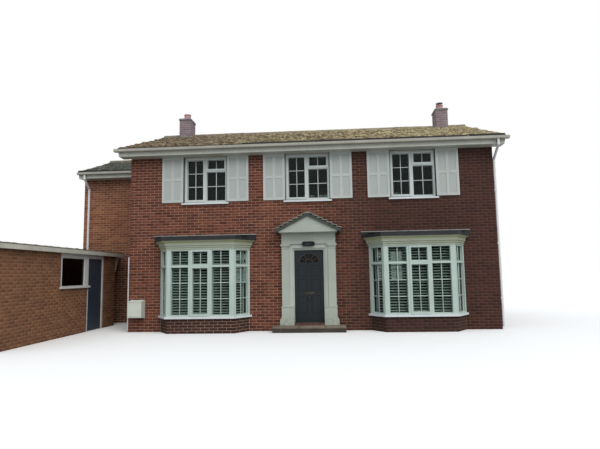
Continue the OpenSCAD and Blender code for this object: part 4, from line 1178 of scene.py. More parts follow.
@dataclass
class Walls:
    """The house's own walls.

    Attributes:
        sizes: The house's sizes.
        bay_half: Half the width of a bay at the wall.
        bay_top: The height of the top of a bay.
        door_half: Half the width of the doorway with its pilasters.
        door_top: The height below which the doorway covers the wall.
        plaster: How far inside its face the outer wall is plaster.
        corner: How far the corner bricks stand past the ends of a long wall.
    """

    sizes: HouseSizes = SIZES
    bay_half: float = 1.21
    bay_top: float = 2.49
    door_half: float = 0.70
    door_top: float = 2.53
    plaster: float = 0.27
    corner: float = 0.004

    def front(self) -> WallFace:
        """The main front.

        Returns:
            The face.
        """
        s = self.sizes
        half = s.window_w / 2
        holes = [(x - half, x + half, s.window_z, s.soffit_z) for x in (-s.side_x, 0.0, s.side_x)]
        holes += [(x - self.bay_half, x + self.bay_half, -1.0, self.bay_top) for x in (-s.side_x, s.side_x)]
        holes.append((-self.door_half, self.door_half, -1.0, self.door_top))
        moved = tuple((a + s.half_x, b + s.half_x, c, d) for a, b, c, d in holes)
        return WallFace(Plane(-s.half_x, -s.half_y), 2 * s.half_x, level(s.soffit_z), moved, over=self.corner)

    def back(self) -> WallFace:
        """The back of the main block and the wing.

        Returns:
            The face.
        """
        s = self.sizes
        length = s.half_x - s.wing_x
        half = s.window_w / 2
        upper = [(x, s.window_z) for x in (-s.side_x, 0.0, s.side_x)]
        lower = [(x, s.back_window_z) for x in (-s.side_x, s.side_x)]
        holes = tuple((s.half_x - x - half, s.half_x - x + half, z, z + s.window_h) for x, z in upper + lower)
        plane = Plane(s.half_x, s.half_y, -1.0, 0.0)
        return WallFace(plane, length, level(s.soffit_z), holes, over=self.corner)

    def gables(self) -> list[WallFace]:
        """The gables of the main block, and the left one's part over the wing roof.

        Returns:
            The faces.
        """
        s = self.sizes
        half = s.half_y
        right = WallFace(Plane(s.half_x, -half, 0.0, 1.0), 2 * half, lambda u: s.under_z(u - half), odd=True)
        side = Plane(-s.half_x, s.wing_y, 0.0, -1.0)
        left = WallFace(side, s.wing_y + half, lambda u: s.under_z(s.wing_y - u))
        meet = 1.05  # Where the main roof and the wing's meet, with no wall between them.
        over = WallFace(
            Plane(-s.half_x, meet, 0.0, -1.0),
            meet - s.wing_y,
            lambda u: s.under_z(meet - u),
            foot=62 * 0.075,  # Courses of brick.
            start=lambda u: s.wing_roof_z(meet - u) - 0.02,
        )
        return [right, left, over]

    def wing(self) -> list[WallFace]:
        """The wing's front and side.

        Returns:
            The faces.
        """
        s = self.sizes
        front = WallFace(Plane(s.wing_x, s.wing_y), -s.half_x - s.wing_x, level(s.soffit_z))
        depth, plane = s.half_y - s.wing_y, Plane(s.wing_x, s.half_y, 0.0, -1.0)
        side = WallFace(plane, depth, lambda u: s.wing_under_z(s.half_y - u), odd=True)
        return [front, side]

    def bay_bases(self) -> list[WallFace]:
        """The three faces of each bay's base.

        Returns:
            The faces.
        """
        s = self.sizes
        wall_half, front_half, depth, top = 1.1956, 0.8746, 0.46, level(0.373)
        faces = []
        for x in (-s.side_x, s.side_x):
            plan = [(-wall_half, 0.0), (-front_half, -depth), (front_half, -depth), (wall_half, 0.0)]
            at = [(x + a, -s.half_y + b) for a, b in plan]
            for k, (a, b) in enumerate(zip(at[:-1], at[1:])):
                faces.append(WallFace(Plane.between(a, b), math.dist(a, b), top, odd=k == 1, over=0.002))
        return faces

    def garage(self) -> list[WallFace]:
        """The garage's four walls, with its window and side door in the right one.

        Returns:
            The faces.
        """
        s = self.sizes
        long_side, short_side = s.garage_y1 - s.garage_y0, s.garage_x - s.garage_x0
        window, door = (2.304, 3.584, 1.2, 3.0), (3.584, 4.480, -1.0, 3.0)
        top = level(s.garage_z - 0.003)
        right = WallFace(Plane(s.garage_x, s.garage_y0, 0.0, 1.0), long_side, top, (window, door), odd=True)
        front = WallFace(Plane(s.garage_x0, s.garage_y0), short_side, top, over=self.corner)
        back = WallFace(Plane(s.garage_x, s.garage_y1, -1.0, 0.0), short_side, top, over=self.corner)
        left = WallFace(Plane(s.garage_x0, s.garage_y1, 0.0, -1.0), long_side, top, odd=True)
        return [right, front, back, left]

    def build(self) -> None:
        """Lays the bricks and dresses the walls behind them."""
        s = self.sizes
        far = 9.0  # Beyond the house.
        # Painted shade of the trees darkens the front's bricks towards the right.
        red = FacingBrick("red_stock_brick", tree_shade_x=TREE_SHADE_X).make()
        # Painted shade: the wing's bricks darken under its eaves and low down in the shaded passage by the garage.
        gold = FacingBrick(
            "golden_stock_brick",
            shades=("#754430", "#855037", "#925c3f", "#9a6343", "#875138", "#784633"),
            dark="#482d23",
            eaves_shade_from=3.6,
            dust="#a8886c",
            low_shade=3.1,
        ).make()
        brown = FacingBrick(
            "brown_stock_brick",
            shades=("#85593e", "#906245", "#9a6a4a", "#a27250", "#926444", "#885d43"),
            dark="#664731",
            eaves_shade_from=far,
            dust="#94806a",
            patchy=0.6,
        ).make()
        # Painted shade: the bay bases stand in shade under the sills, so their bricks are dark.
        low_shade = ("#3a2420", "#472b25", "#51312a", "#402824")
        base = FacingBrick("shaded_brick", shades=low_shade, dark="#221817", eaves_shade_from=far).make()
        x, y = s.half_x - self.plaster, s.half_y - self.plaster
        walls = ("front_wall_left", "front_wall_right", "front_wall_over_door", "left_gable_wall", "right_gable_wall")
        # Inside, the plaster is painted dark, as shade of the unlit rooms.
        dress(Mortar("lime_mortar", inside=(-x, x, -y, y), tree_shade_x=TREE_SHADE_X), *walls, "back_wall", "bay_bases")
        rooms = (s.wing_x + self.plaster, far, s.wing_y + self.plaster, far)
        pale = Mortar("pale_mortar", colour="#b39b80", stain="#927c66", inside=rooms)
        dress(pale, "wing_front_wall", "wing_side_wall")
        dress(Mortar("garage_mortar", colour="#9a7a5c", stain="#87694d"), "garage_walls", "garage_window_wall")
        for name, seed, faces, slot, finish in (
            ("bricks_front", 7, [self.front()], "brick", red),
            ("bricks_gables", 8, self.gables(), "brick", red),
            ("bricks_back", 9, [self.back()], "brick", red),
            ("bricks_wing", 10, self.wing(), "brick", gold),
            ("bricks_bays", 12, self.bay_bases(), "brick", base),
            ("bricks_garage", 11, self.garage(), "garage_brick", brown),
        ):
            make_piece(name, Brickwork(rng=np.random.default_rng(seed)).lay(faces), slot, finish)
        # The rooms' floors are kept dark, partly as painted shade of the unlit rooms.
        dress(Weathered("screed", ("#37342f", "#47433c"), patch=0.5), "ground_floor", "garage_floor")
        dress(Weathered("floor_boards", ("#3a2d21", "#4b3a2a"), patch=0.2, spotted=0.9), "first_floor")


@dataclass(frozen=True)
class RoofPlane:
    """One tiled slope.

    Attributes:
        x0: Its left edge.
        x1: Its right edge.
        ridge_y: The line of its ridge.
        ridge_z: The height of its ridge.
        eaves_y: The line of its lower edge.
        moss: How many moss cushions it carries for each tile.
    """

    x0: float
    x1: float
    ridge_y: float
    ridge_z: float
    eaves_y: float
    moss: float

    def frame_at(self) -> tuple[Array, Array, float]:
        """The plane's own directions and its length.

        Returns:
            A matrix whose columns run along the eaves, up the slope and out of it, the lower corner, and the
            length of the slope.
        """
        way = 1.0 if self.eaves_y < self.ridge_y else -1.0
        run = abs(self.ridge_y - self.eaves_y)
        c, s = math.cos(SIZES.pitch), math.sin(SIZES.pitch)
        turn = np.array([[way, 0, 0], [0, c * way, -s * way], [0, s, c]])
        corner = np.array([self.x0 if way > 0 else self.x1, self.eaves_y, self.ridge_z - run * SIZES.slope])
        return turn, corner, run / c


@dataclass
class Roofs:
    """The tiled slopes, the ridges and the moss.

    Attributes:
        cover: The width that a tile covers.
        course: The level distance from one course to the next.
        over: How far a tile's tail stands out over the course below.
        fall: How much lower the head of a tile lies than its tail.
        thick: The thickness of a tile.
        roll_h: The height of a tile's two rolls.
        ridge_l: The length of a ridge tile.
        ridge_r: The radius of a ridge tile.
    """

    cover: float = 0.300
    course: float = 0.325
    over: float = 0.010
    fall: float = 0.022
    thick: float = 0.012
    roll_h: float = 0.017
    ridge_l: float = 0.45
    ridge_r: float = 0.125
    rng: np.random.Generator = seeded(21)

    def planes(self) -> dict[str, RoofPlane]:
        """The four slopes by name.

        Returns:
            The slopes.
        """
        s = SIZES
        far = s.half_y + s.tile_out
        return {
            "main_front": RoofPlane(-s.verge_x, s.verge_x, 0.0, s.ridge_z, -far, 7.0),
            "main_back": RoofPlane(-s.half_x, s.verge_x, 0.0, s.ridge_z, far, 2.5),
            "wing_front": RoofPlane(
                s.wing_verge_x, -s.half_x, s.wing_mid_y, s.wing_ridge_z, s.wing_y - s.tile_out, 5.0
            ),
            "wing_back": RoofPlane(s.wing_verge_x, -s.half_x, s.wing_mid_y, s.wing_ridge_z, far, 2.5),
        }

    def rows(self, plane: RoofPlane) -> tuple[int, float]:
        """The number of courses on a slope and the distance between them."""
        rows = round(abs(plane.ridge_y - plane.eaves_y) / self.course)
        return rows, plane.frame_at()[2] / rows

    def tile(self, cover: float, gauge: float, fall: float) -> Shape:
        """One double-rolled interlocking tile, its tail a little before y 0 and its head at the next course.

        Args:
            cover: The width that it covers.
            gauge: The distance between courses.
            fall: How much lower its head lies than its tail.

        Returns:
            The tile.
        """
        steps = [0.0, 0.28, 0.36, 0.43, 0.50, 0.57, 0.64, 0.84, 0.91, 1.0, 1.07, 1.14]
        rise = [0.02, 0.0, 0.3, 0.86, 1.0, 0.86, 0.3, 0.0, 0.3, 0.86, 1.0, 0.86]
        n = len(steps) - 1
        grid = {"x_subdivisions": n, "y_subdivisions": 1, "size": 1}
        blank = Blank(bpy.ops.mesh.primitive_grid_add, scale=(1, gauge + self.over, 1), **grid)
        away = 2.0  # The points are moved this far aside, so that none is picked twice.
        for k, (u, h) in enumerate(zip(steps, rise)):
            old = k / n - 0.5
            blank.pick(Pick.POINTS, lambda m, d, at=old: abs(m.x - at) < 0.2 / n)
            blank.shift(away + u * cover - old, 0.0, h * self.roll_h)
        blank.all().shift(-away, (gauge - self.over) / 2, 0.003)
        blank.pick(Pick.POINTS, lambda m, d: m.y > 0.01).shift(z=-fall)
        return blank.modifier("SOLIDIFY", thickness=self.thick, offset=-1).facing_out().shape()

    def cushion(self, seed: int) -> Shape:
        """A lumpy moss cushion of unit size with a flat foot."""
        blank = Blank(bpy.ops.mesh.primitive_ico_sphere_add, subdivisions=2, radius=0.5).cut_below(-0.1)
        return blank.all().do(bpy.ops.transform.vertex_random, offset=0.09, seed=seed).shape()

    def lay(self, plane: RoofPlane) -> Shape:
        """The tiles of a slope.

        Args:
            plane: The slope.

        Returns:
            The tiles.
        """
        turn, corner, _ = plane.frame_at()
        rows, gauge = self.rows(plane)
        columns = round((plane.x1 - plane.x0) / self.cover)
        cover = (plane.x1 - plane.x0 - 0.012) / (columns + 0.14)
        parts = []
        for fall, courses in ((self.fall, range(rows - 1)), (0.0, range(rows - 1, rows))):
            tile = self.tile(cover, gauge, fall)
            places, turns = [], []
            for r in courses:
                for c in range(columns):
                    jitter = self.rng.normal(0.0, 1.0, 5) * (0.0012, 0.003, 0.0005, 0.003, 0.004)
                    own = np.array([c * cover + 0.006 + jitter[0], r * gauge + jitter[1], jitter[2]])
                    lean = Matrix.Rotation(abs(jitter[3]), 3, "X") @ Matrix.Rotation(jitter[4], 3, "Z")
                    turns.append(turn @ np.array(lean))
                    places.append(corner + turn @ own)
            parts.append(tile.placed(np.array(turns), np.array(places), self.rng))
        return joined(parts)

    def moss(self, plane: RoofPlane) -> Shape:
        """Moss cushions, thickest along the tails of the tiles and on the lower courses.

        Args:
            plane: The slope.

        Returns:
            The cushions.
        """
        turn, corner, _ = plane.frame_at()
        width = plane.x1 - plane.x0
        rows, gauge = self.rows(plane)
        count = int(plane.moss * rows * width / self.cover)
        parts = []
        for seed in (3, 4):
            shape = self.cushion(seed)
            m = count // 2
            u = self.rng.random(m) * (width - 0.08) + 0.04
            row = self.rng.integers(0, rows, m)
            near = np.abs(self.rng.normal(0.0, 0.06, m)) + 0.012
            v = row * gauge + np.minimum(near, gauge * 0.95)
            size = self.rng.gamma(3.0, 0.016, m) + 0.018
            size = np.minimum(size, 0.13)
            turns, places = [], []
            for k in range(m):
                spin = Matrix.Rotation(self.rng.random() * math.tau, 3, "Z")
                form = Matrix.Diagonal((size[k] * (0.8 + self.rng.random() * 0.9), size[k], size[k] * 0.55))
                turns.append(turn @ np.array(spin @ form))
                height = 0.006 - self.fall * (v[k] - row[k] * gauge) / gauge + size[k] * 0.03
                places.append(corner + turn @ np.array([u[k], v[k], height]))
            parts.append(shape.placed(np.array(turns), np.array(places), self.rng))
        return joined(parts)

    def ridge_tile(self, length: float, radius: float) -> Shape:
        """One half-round ridge tile along X from the origin, its top at z 0.

        Args:
            length: The distance to the next tile.
            radius: Its radius.

        Returns:
            The tile.
        """
        pipe = {"vertices": 24, "radius": radius, "depth": length - 0.008, "end_fill_type": "NOTHING"}
        at = {"rotation": (0, math.pi / 2, 0), "location": (length / 2, 0, -radius)}
        blank = Blank(bpy.ops.mesh.primitive_cylinder_add, **pipe, **at).cut_below(-radius * 0.95, fill=False)
        return blank.modifier("SOLIDIFY", thickness=0.016, offset=-1).shape()

    def runs(self, inset: float = 0.0) -> list[tuple[float, float, float, float]]:
        """The runs of ridge between the verges and the stacks.

        Args:
            inset: How far they end before the verges.

        Returns:
            The low and high x, the y and the height of each.
        """
        s = SIZES
        near, far = s.stack_x - s.stack_w, s.stack_x + s.stack_w
        main = [(-s.verge_x + inset, -far), (-near, near), (far, s.verge_x - inset)]
        wing = (s.wing_verge_x + inset, -s.half_x, s.wing_mid_y, s.wing_ridge_z)
        return [(a, b, 0.0, s.ridge_z) for a, b in main] + [wing]

    def ridges(self) -> Shape:
        """All runs of ridge tiles.

        Returns:
            The tiles.
        """
        draw = self.rng.normal
        parts = []
        for x0, x1, y, z in self.runs():
            count = max(1, round((x1 - x0) / self.ridge_l))
            step, top = (x1 - x0) / count, z + self.ridge_r * 0.5
            tile = self.ridge_tile(step, self.ridge_r)
            tilt = [np.array(Matrix.Rotation(draw(0, 0.006), 3, "Y")) for _ in range(count)]
            at = [[x0 + k * step, y + draw(0, 0.003), top + draw(0, 0.003)] for k in range(count)]
            parts.append(tile.placed(np.array(tilt), np.array(at), self.rng))
        return joined(parts)

    def beds(self) -> Shape:
        """The mortar beds under the ridge tiles.

        Returns:
            The beds.
        """
        half, under, over = 0.112, 0.06, 0.02
        boxes = [(a, y - half, z - under, b, y + half, z + over) for a, b, y, z in self.runs(0.01)]
        return arrised_box(1.0, 0.2, 0.08, 0.02).stretched(boxes, self.rng)

    def eaves_shadow_strip(self) -> Shape:
        """A dark strip along the gutters that paints the shadow line under the tile tails.

        Returns:
            The felt.
        """
        s = SIZES
        strip = arrised_box(0.5, 0.02, 0.04, 0.002)
        boxes: list[Box] = []
        # The painted shadow line on the main front starts at this X.
        shadow_from_x, strip_l = -1.7, 1.1
        runs = ((shadow_from_x, s.verge_x - 0.03, -s.half_y), (s.wing_verge_x + 0.03, -s.half_x - 0.02, s.wing_y))
        for x0, x1, y in runs:
            edges = np.linspace(x0, x1, 1 + math.ceil((x1 - x0) / strip_l))
            for a, b in zip(edges[:-1], edges[1:]):
                top = s.gutter_z + 0.054 + self.rng.normal(0.0, 0.004)
                boxes.append((a, y - s.tile_out - 0.036, s.gutter_z - 0.02, b, y - s.tile_out - 0.022, top))
        return strip.stretched(boxes, self.rng)

    def flashings(self) -> Shape:
        """Lead where the wing roof and the stacks meet brickwork.

        Returns:
            The lead.
        """
        s = SIZES
        sheet = arrised_box(0.15, 0.3, 0.006, 0.0015)
        turn, _, _ = self.planes()["wing_front"].frame_at()
        foot_y = s.wing_y - s.tile_out
        foot = np.array([-s.half_x - 0.085, foot_y, s.wing_roof_z(foot_y)])
        run, count = (s.wing_mid_y - foot_y) / math.cos(s.pitch), 8
        parts = []
        for k in range(count):
            own = turn @ np.array([0.0, run * k / count, 0.021])
            part = sheet.stretched([(-0.085, 0.0, 0.0, 0.085, run / count + 0.02, 0.006)], self.rng)
            parts.append(part.placed(turn[None], (foot + own)[None], self.rng))
        step = arrised_box(0.006, 0.15, 0.12, 0.0015)
        boxes = []
        for y0 in (s.wing_y + 0.02 + k * 0.15 for k in range(12)):
            z0 = s.wing_roof_z(y0) + 0.02
            boxes.append((-s.half_x - 0.011, y0, z0 - 0.05, -s.half_x - 0.0035, y0 + 0.16, z0 + 0.14))
        parts.append(step.stretched(boxes, self.rng))
        w, d = s.stack_w, s.stack_d
        low = s.ridge_z - d * s.slope
        near, far = 0.004, 0.012  # How far the lead's two faces stand from the stack.
        for x in (-s.stack_x, s.stack_x):
            apron = [(x - w - far, -d - far, low - 0.03, x + w + far, -d - near, low + 0.04)]
            apron += [(x - w - far, d + near, low - 0.03, x + w + far, d + far, low + 0.04)]
            for y0 in (-d + k * d / 2 for k in range(4)):
                z0 = s.ridge_z - min(abs(y0), abs(y0 + d / 2)) * s.slope
                for side in (-1, 1):
                    a, b = sorted((x + side * (w + near), x + side * (w + far)))
                    apron.append((a, y0, z0 - 0.12, b, y0 + d / 2, z0 + 0.045))
            parts.append(step.stretched(apron, self.rng))
        return joined(parts)

    def build(self) -> None:
        """Lays the tiles, ridges, moss and lead."""
        golden = MossyTile("mossy_concrete_tile").make()
        tile, moss = ("#44443f", "#5b5a54"), ("#41433b", "#5b5e52", "#74776b")
        grey = MossyTile("mossy_grey_tile", tile=tile, moss=moss, dry="#66665f").make()
        moss = ("#493e31", "#7d7058", "#9b8f76")
        cushion = MossyTile("moss_cushion", moss=moss, cover=0.0, lichen="#a89d86").make()
        slopes = ("main_roof_front", "main_roof_back", "wing_roof_front", "wing_roof_back")
        # The dark felt also serves as the painted shadow line along the eaves.
        felt = dress(Weathered("battens_felt_and_eaves_shadow", ("#191714", "#24201c"), patch=0.3, spotted=0.9), *slopes)
        for name, plane in self.planes().items():
            finish, tuft = (golden, cushion) if name.startswith("main") else (grey, grey)
            make_piece("tiles_" + name, self.lay(plane), "roof_tile", finish, smooth=35)
            make_piece("moss_" + name, self.moss(plane), "roof_tile", tuft, smooth=60)
        # Painted shadow: a dark strip before the tile tails along the gutters.
        make_piece("eaves_shadow_strip", self.eaves_shadow_strip(), "felt", felt)
        make_piece("ridge_tile_run", self.ridges(), "roof_tile", golden, smooth=35, replaces=["ridge_tiles"])
        bed = Weathered("ridge_mortar", ("#6b655a", "#8d8677"), patch=0.2)
        make_piece("ridge_beds", self.beds(), "roof_tile", bed.make())
        greys = ("#63666a", "#777a7b", "#888a87")
        lead = Weathered("patinated_lead", greys, patch=0.4, rough=0.7, spotted=0.9)
        make_piece("lead_flashings", self.flashings(), "lead", lead.make())


@dataclass
class Chimneys:
    """The two stacks with their pots and the cowl.

    Attributes:
        foot_z: The height of the lowest course, inside the roof.
        crown_z: The height of the foot of the crown.
        crown_out: How far the crown stands out.
        crown_h: The height of the crown's outer course.
    """

    foot_z: float = 6.075
    crown_z: float = 6.795
    crown_out: float = 0.018
    crown_h: float = 0.056

    def sides(self, out: float, foot: float, top: float) -> list[WallFace]:
        """The four faces round each stack.

        Args:
            out: How far they stand out of the stack.
            foot: The height of their lowest course.
            top: The height of their top.

        Returns:
            The faces.
        """
        w, d = SIZES.stack_w + out, SIZES.stack_d + out
        found = []
        for x in (-SIZES.stack_x, SIZES.stack_x):
            plan = [(x - w, -d), (x + w, -d), (x + w, d), (x - w, d), (x - w, -d)]
            for k, (a, b) in enumerate(zip(plan[:-1], plan[1:])):
                odd, over = k % 2 == 1, 0.0 if k % 2 else 0.003
                plane = Plane.between(a, b)
                found.append(WallFace(plane, math.dist(a, b), level(top), foot=foot, odd=odd, over=over))
        return found

    def pot(self, high: float) -> Shape:
        """A turned clay pot with a rolled rim, at the origin.

        Args:
            high: Its height.

        Returns:
            The pot.
        """
        outline = [(0.119, 0.0), (0.118, 0.015)]
        rim = ((0.104, 0.055), (0.104, 0.042), (0.116, 0.035), (0.1195, 0.025), (0.1195, 0.01))
        outline += [(r, high - down) for r, down in rim + ((0.113, 0.0), (0.09, 0.0), (0.083, 0.01))]
        return turned(outline + [(0.082, 0.06), (0.09, 0.0)], 40)

    def cowl(self) -> Shape:
        """The spun metal cowl, at its pot's foot: a sleeve in the pot, a neck and a shallow hat.

        Returns:
            The cowl.
        """
        outline = [(0.07, 0.12), (0.07, 0.17), (0.022, 0.178), (0.022, 0.236), (0.112, 0.233), (0.1175, 0.238)]
        outline += [(0.1175, 0.244), (0.085, 0.257), (0.03, 0.2675), (0.004, 0.2685)]
        return turned(outline, 32)

    def build(self) -> None:
        """Dresses the stacks and makes their bricks and pots."""
        dress(Weathered("stack_cement", ("#7d7675", "#979090", "#a7a19e"), patch=0.2), "chimney_stacks")
        shades = ("#857578", "#8d7c80", "#978689", "#897276", "#a19396")
        brick = FacingBrick("sooted_brick", shades, dark="#72666a", eaves_shade_from=9.0, dust="#a39a99", patchy=0.6)
        stacks = self.sides(0.0, self.foot_z, self.crown_z - 0.004)
        laid = Brickwork(rng=np.random.default_rng(31)).lay(stacks)
        make_piece("bricks_stacks", laid, "stack_brick", brick.make())
        shades = ("#85807f", "#95908e", "#7b7675")
        brick = FacingBrick("crown_brick", shades, dark="#67625f", eaves_shade_from=9.0, dust="#a8a49e")
        crowns = self.sides(self.crown_out, self.crown_z + 0.003, self.crown_z + self.crown_h)
        laid = Brickwork(brick_h=0.052, rng=np.random.default_rng(32)).lay(crowns)
        make_piece("bricks_crowns", laid, "stack_brick", brick.make())
        # The clay is paled to pink, partly a painted sheen of the sky's glare.
        clay_and_glare = ("#9c7573", "#b08a87", "#c09d99")
        clay = Weathered("terracotta", clay_and_glare, patch=0.12, rough=0.85, spots="#7f6662").make()
        x, z = SIZES.stack_x, SIZES.stack_top_z
        pots = joined([self.pot(0.205).moved(-x, 0.0, z), self.pot(0.178).moved(x, 0.0, z)])
        make_piece("clay_pots", pots, "terracotta", clay, smooth=50, replaces=["chimney_pots"])
        metal = Weathered("zinc_cowl", ("#46536a", "#5c6a82", "#76849a"), patch=0.1, rough=0.6).make()
        cowl = self.cowl().moved(x, 0.0, z)
        make_piece("spun_cowl", cowl, "cowl_metal", metal, smooth=40, replaces=["chimney_cowl"])


@dataclass
class Eaves:
    """The boards, gutters and pipes.

    Attributes:
        bracket_step: The distance between gutter brackets.
        strap: The width of a bracket.
    """

    bracket_step: float = 0.95
    strap: float = 0.022

    def bracket(self) -> Shape:
        """One gutter bracket in the gutter's own place: fixed at y 0, its strap under and in front.

        Returns:
            The bracket.
        """
        w = SIZES.gutter_w
        strap = {"scale": (self.strap, w + 0.004, 0.004), "location": (0, -(w + 0.004) / 2, -0.0775)}
        blank = Blank(bpy.ops.mesh.primitive_cube_add, size=1, **strap)
        blank.pick(Pick.FACES, facing_front).extrude(-0.004, 0.012)
        blank.pick(Pick.FACES, lambda m, d: d.z > 0.5 and m.y < -w).extrude(z=0.066)
        return blank.pick(Pick.EDGES, lambda m, d: abs(d.x) < 0.1).bevel(0.001).shape()

    def brackets(self) -> Shape:
        """All brackets of the three gutters.

        Returns:
            The brackets.
        """
        s = SIZES
        runs = [
            (-s.verge_x, s.verge_x, -s.half_y - s.fascia_out, 1.0),
            (s.wing_verge_x, s.verge_x, s.half_y + s.fascia_out, -1.0),
            (s.wing_verge_x, -s.half_x - 0.1, s.wing_y - s.fascia_out, 1.0),
        ]
        turns, places = [], []
        for x0, x1, y, way in runs:
            count = max(2, round((x1 - x0) / self.bracket_step))
            for k in range(count + 1):
                turns.append(np.diag([way, way, 1.0]))
                places.append([x0 + 0.12 + (x1 - x0 - 0.24) * k / count, y, s.gutter_z])
        return self.bracket().placed(np.array(turns), np.array(places), np.random.default_rng(41))

    def build(self) -> None:
        """Dresses the boards and pipes and makes the brackets."""
        dress(Paint("eaves_gloss", "#bcbeb2", "#abada0", grime="#7d7f6d", dirt=0.3, rough=0.5), "eaves_boards")
        plastic = Paint("gutter_plastic", "#a5a398", "#959387", grime="#66665a", dirt=0.4, rough=0.45)
        gutter = dress(plastic, "gutters")
        dress(Paint("pipe_plastic", "#dcdadb", "#cfcdce", grime="#7c7f7a", dirt=0.3, rough=0.4), "downpipes")
        make_piece("gutter_brackets", self.brackets(), "gutter_white", gutter)


@dataclass
class Windows:
    """The upper, back and garage windows: glazing bars, beads, sills and shutters.

    Attributes:
        bar: The width of a glazing bar.
        bar_d: The depth of a glazing bar.
        bar_y: How far the bars lie behind the wall's face.
        bead: The width of the beads round the glass.
        bead_y: How far the beads lie behind the wall's face.
    """

    bar: float = 0.020
    bar_d: float = 0.030
    bar_y: float = 0.098
    bead: float = 0.012
    bead_y: float = 0.104
    rng: np.random.Generator = seeded(51)

    def bars(self, u0: float, u1: float, z0: float, z1: float, y: float, columns: int, rows: int) -> list[Box]:
        """The bars of one light.

        Args:
            u0: Its left edge.
            u1: Its right edge.
            z0: Its foot.
            z1: Its head.
            y: The front of the bars.
            columns: The number of panes across.
            rows: The number of panes up.

        Returns:
            The boxes of the bars.
        """
        h = self.bar / 2
        upright = [u0 + (u1 - u0) * k / columns for k in range(1, columns)]
        level = [z0 + (z1 - z0) * k / rows for k in range(1, rows)]
        found = [(u - h, y, z0 - 0.01, u + h, y + self.bar_d, z1 + 0.01) for u in upright]
        found += [(u0 - 0.01, y + 0.001, z - h, u1 + 0.01, y + self.bar_d, z + h) for z in level]
        return found

    def house_window(self, z0: float) -> tuple[list[Box], list[Box]]:
        """The bars and the beads of one house window about its own middle, from the wall's face inwards.

        Args:
            z0: The height of its foot.

        Returns:
            The boxes of the bars and of the beads.
        """
        lights = [(-0.517, -0.072, z0 + 0.083, z0 + 1.192, 2, 3)]
        lights.append((0.021, 0.542, z0 + 0.058, z0 + 0.856, 2, 2))
        lights.append((0.046, 0.517, z0 + 0.939, z0 + 1.192, 2, 1))
        bars: list[Box] = []
        beads: list[Box] = []
        for u0, u1, a, b, columns, rows in lights:
            bars += self.bars(u0, u1, a, b, self.bar_y, columns, rows)
            beads.append((u0 - 0.001, self.bead_y, a - 0.001, u1 + 0.001, self.bead_y + 0.026, b + 0.001))
        return bars, beads

    def openings(self) -> list[tuple[Plane, float]]:
        """The face and the height of the foot of each house window.

        Returns:
            A face that starts at the window's middle, and the height.
        """
        s = SIZES
        upper = [(x, s.window_z, way) for way in (1.0, -1.0) for x in (-s.side_x, 0.0, s.side_x)]
        lower = [(x, s.back_window_z, -1.0) for x in (-s.side_x, s.side_x)]
        return [(Plane(x, -s.half_y * way, way, 0.0), z) for x, z, way in upper + lower]

    def linings(self) -> Shape:
        """The rendered sides of the openings, from the wall's face to the frame.

        Returns:
            The linings.
        """
        s = SIZES
        board = arrised_box(0.02, 0.08, 0.5, 0.001)
        half, high = s.window_w / 2, s.window_h - 0.002
        parts = []
        for plane, z in self.openings():
            boxes = [(a, -0.0035, z + 0.002, a + 0.006, 0.09, z + high) for a in (-half, half - 0.006)]
            parts.append(board.stretched(boxes, self.rng).on(plane))
        return joined(parts)

    def joinery(self) -> Shape:
        """The bars and beads of all house windows.

        Returns:
            The bars and beads.
        """
        bar = arrised_box(0.5, self.bar_d, self.bar, 0.005)
        ring = moulded_ring(self.bead, 0.026, 0.006)
        parts = []
        for plane, z in self.openings():
            bars, beads = self.house_window(z)
            parts.append(bar.stretched(bars, self.rng).on(plane))
            parts.append(ring.stretched(beads, self.rng).on(plane))
        return joined(parts)

    def shutter_beads(self) -> Shape:
        """The beads round the four panels of each shutter.

        Returns:
            The beads.
        """
        s = SIZES
        rail, width, z0, z1, y = 0.062, 0.59, s.window_z + 0.015, s.soffit_z, -s.half_y - 0.026
        panel_w, panel_h = width / 2 - rail * 1.5, (z1 - z0) / 2 - rail * 1.5
        boxes = [
            (u, y - 0.0085, z, u + panel_w, y + 0.001, z + panel_h)
            for x in (-s.side_x, 0.0, s.side_x)
            for start in (x - 0.608 - width, x + 0.608)
            for u in (start + rail, start + width / 2 + rail / 2)
            for z in (z0 + rail, (z0 + z1) / 2 + rail / 2)
        ]
        return moulded_ring(0.011, 0.010, 0.005).stretched(boxes, self.rng)

    def build(self) -> None:
        """Dresses the windows and makes their trim."""
        gloss = Paint("window_gloss", "#c0c8c5", "#b5bdba", grime="#8b9088", dirt=0.15, rough=0.35)
        white = dress(gloss, "window_frames")
        dress(Paint("sill_gloss", "#d3d7d9", "#c8ccce", grime="#8c9087", dirt=0.2, rough=0.4), "window_sills")
        # The shutters' sunk panels are painted darker, as the shade in their recesses.
        panels = (-SIZES.half_y - 0.0272, "#a2a8a3")
        gloss = Paint("shutter_paint", "#b6bab6", "#acb1ab", grime="#8d9186", dirt=0.2, rough=0.5, sunk=panels)
        shutter = dress(gloss, "shutters")
        dress(WindowGlass(), "window_glass")
        make_piece("glazing_bars", self.joinery(), "frame_white", white)
        # The linings are rendered, and their near-black colour is painted shade in the reveals.
        render = Weathered("shaded_render", ("#2b2d2a", "#3b3d38", "#4a4c46"), patch=0.2, spotted=0.9).make()
        make_piece("reveal_linings", self.linings(), "brick", render)
        make_piece("shutter_beads", self.shutter_beads(), "shutter_paint", shutter)


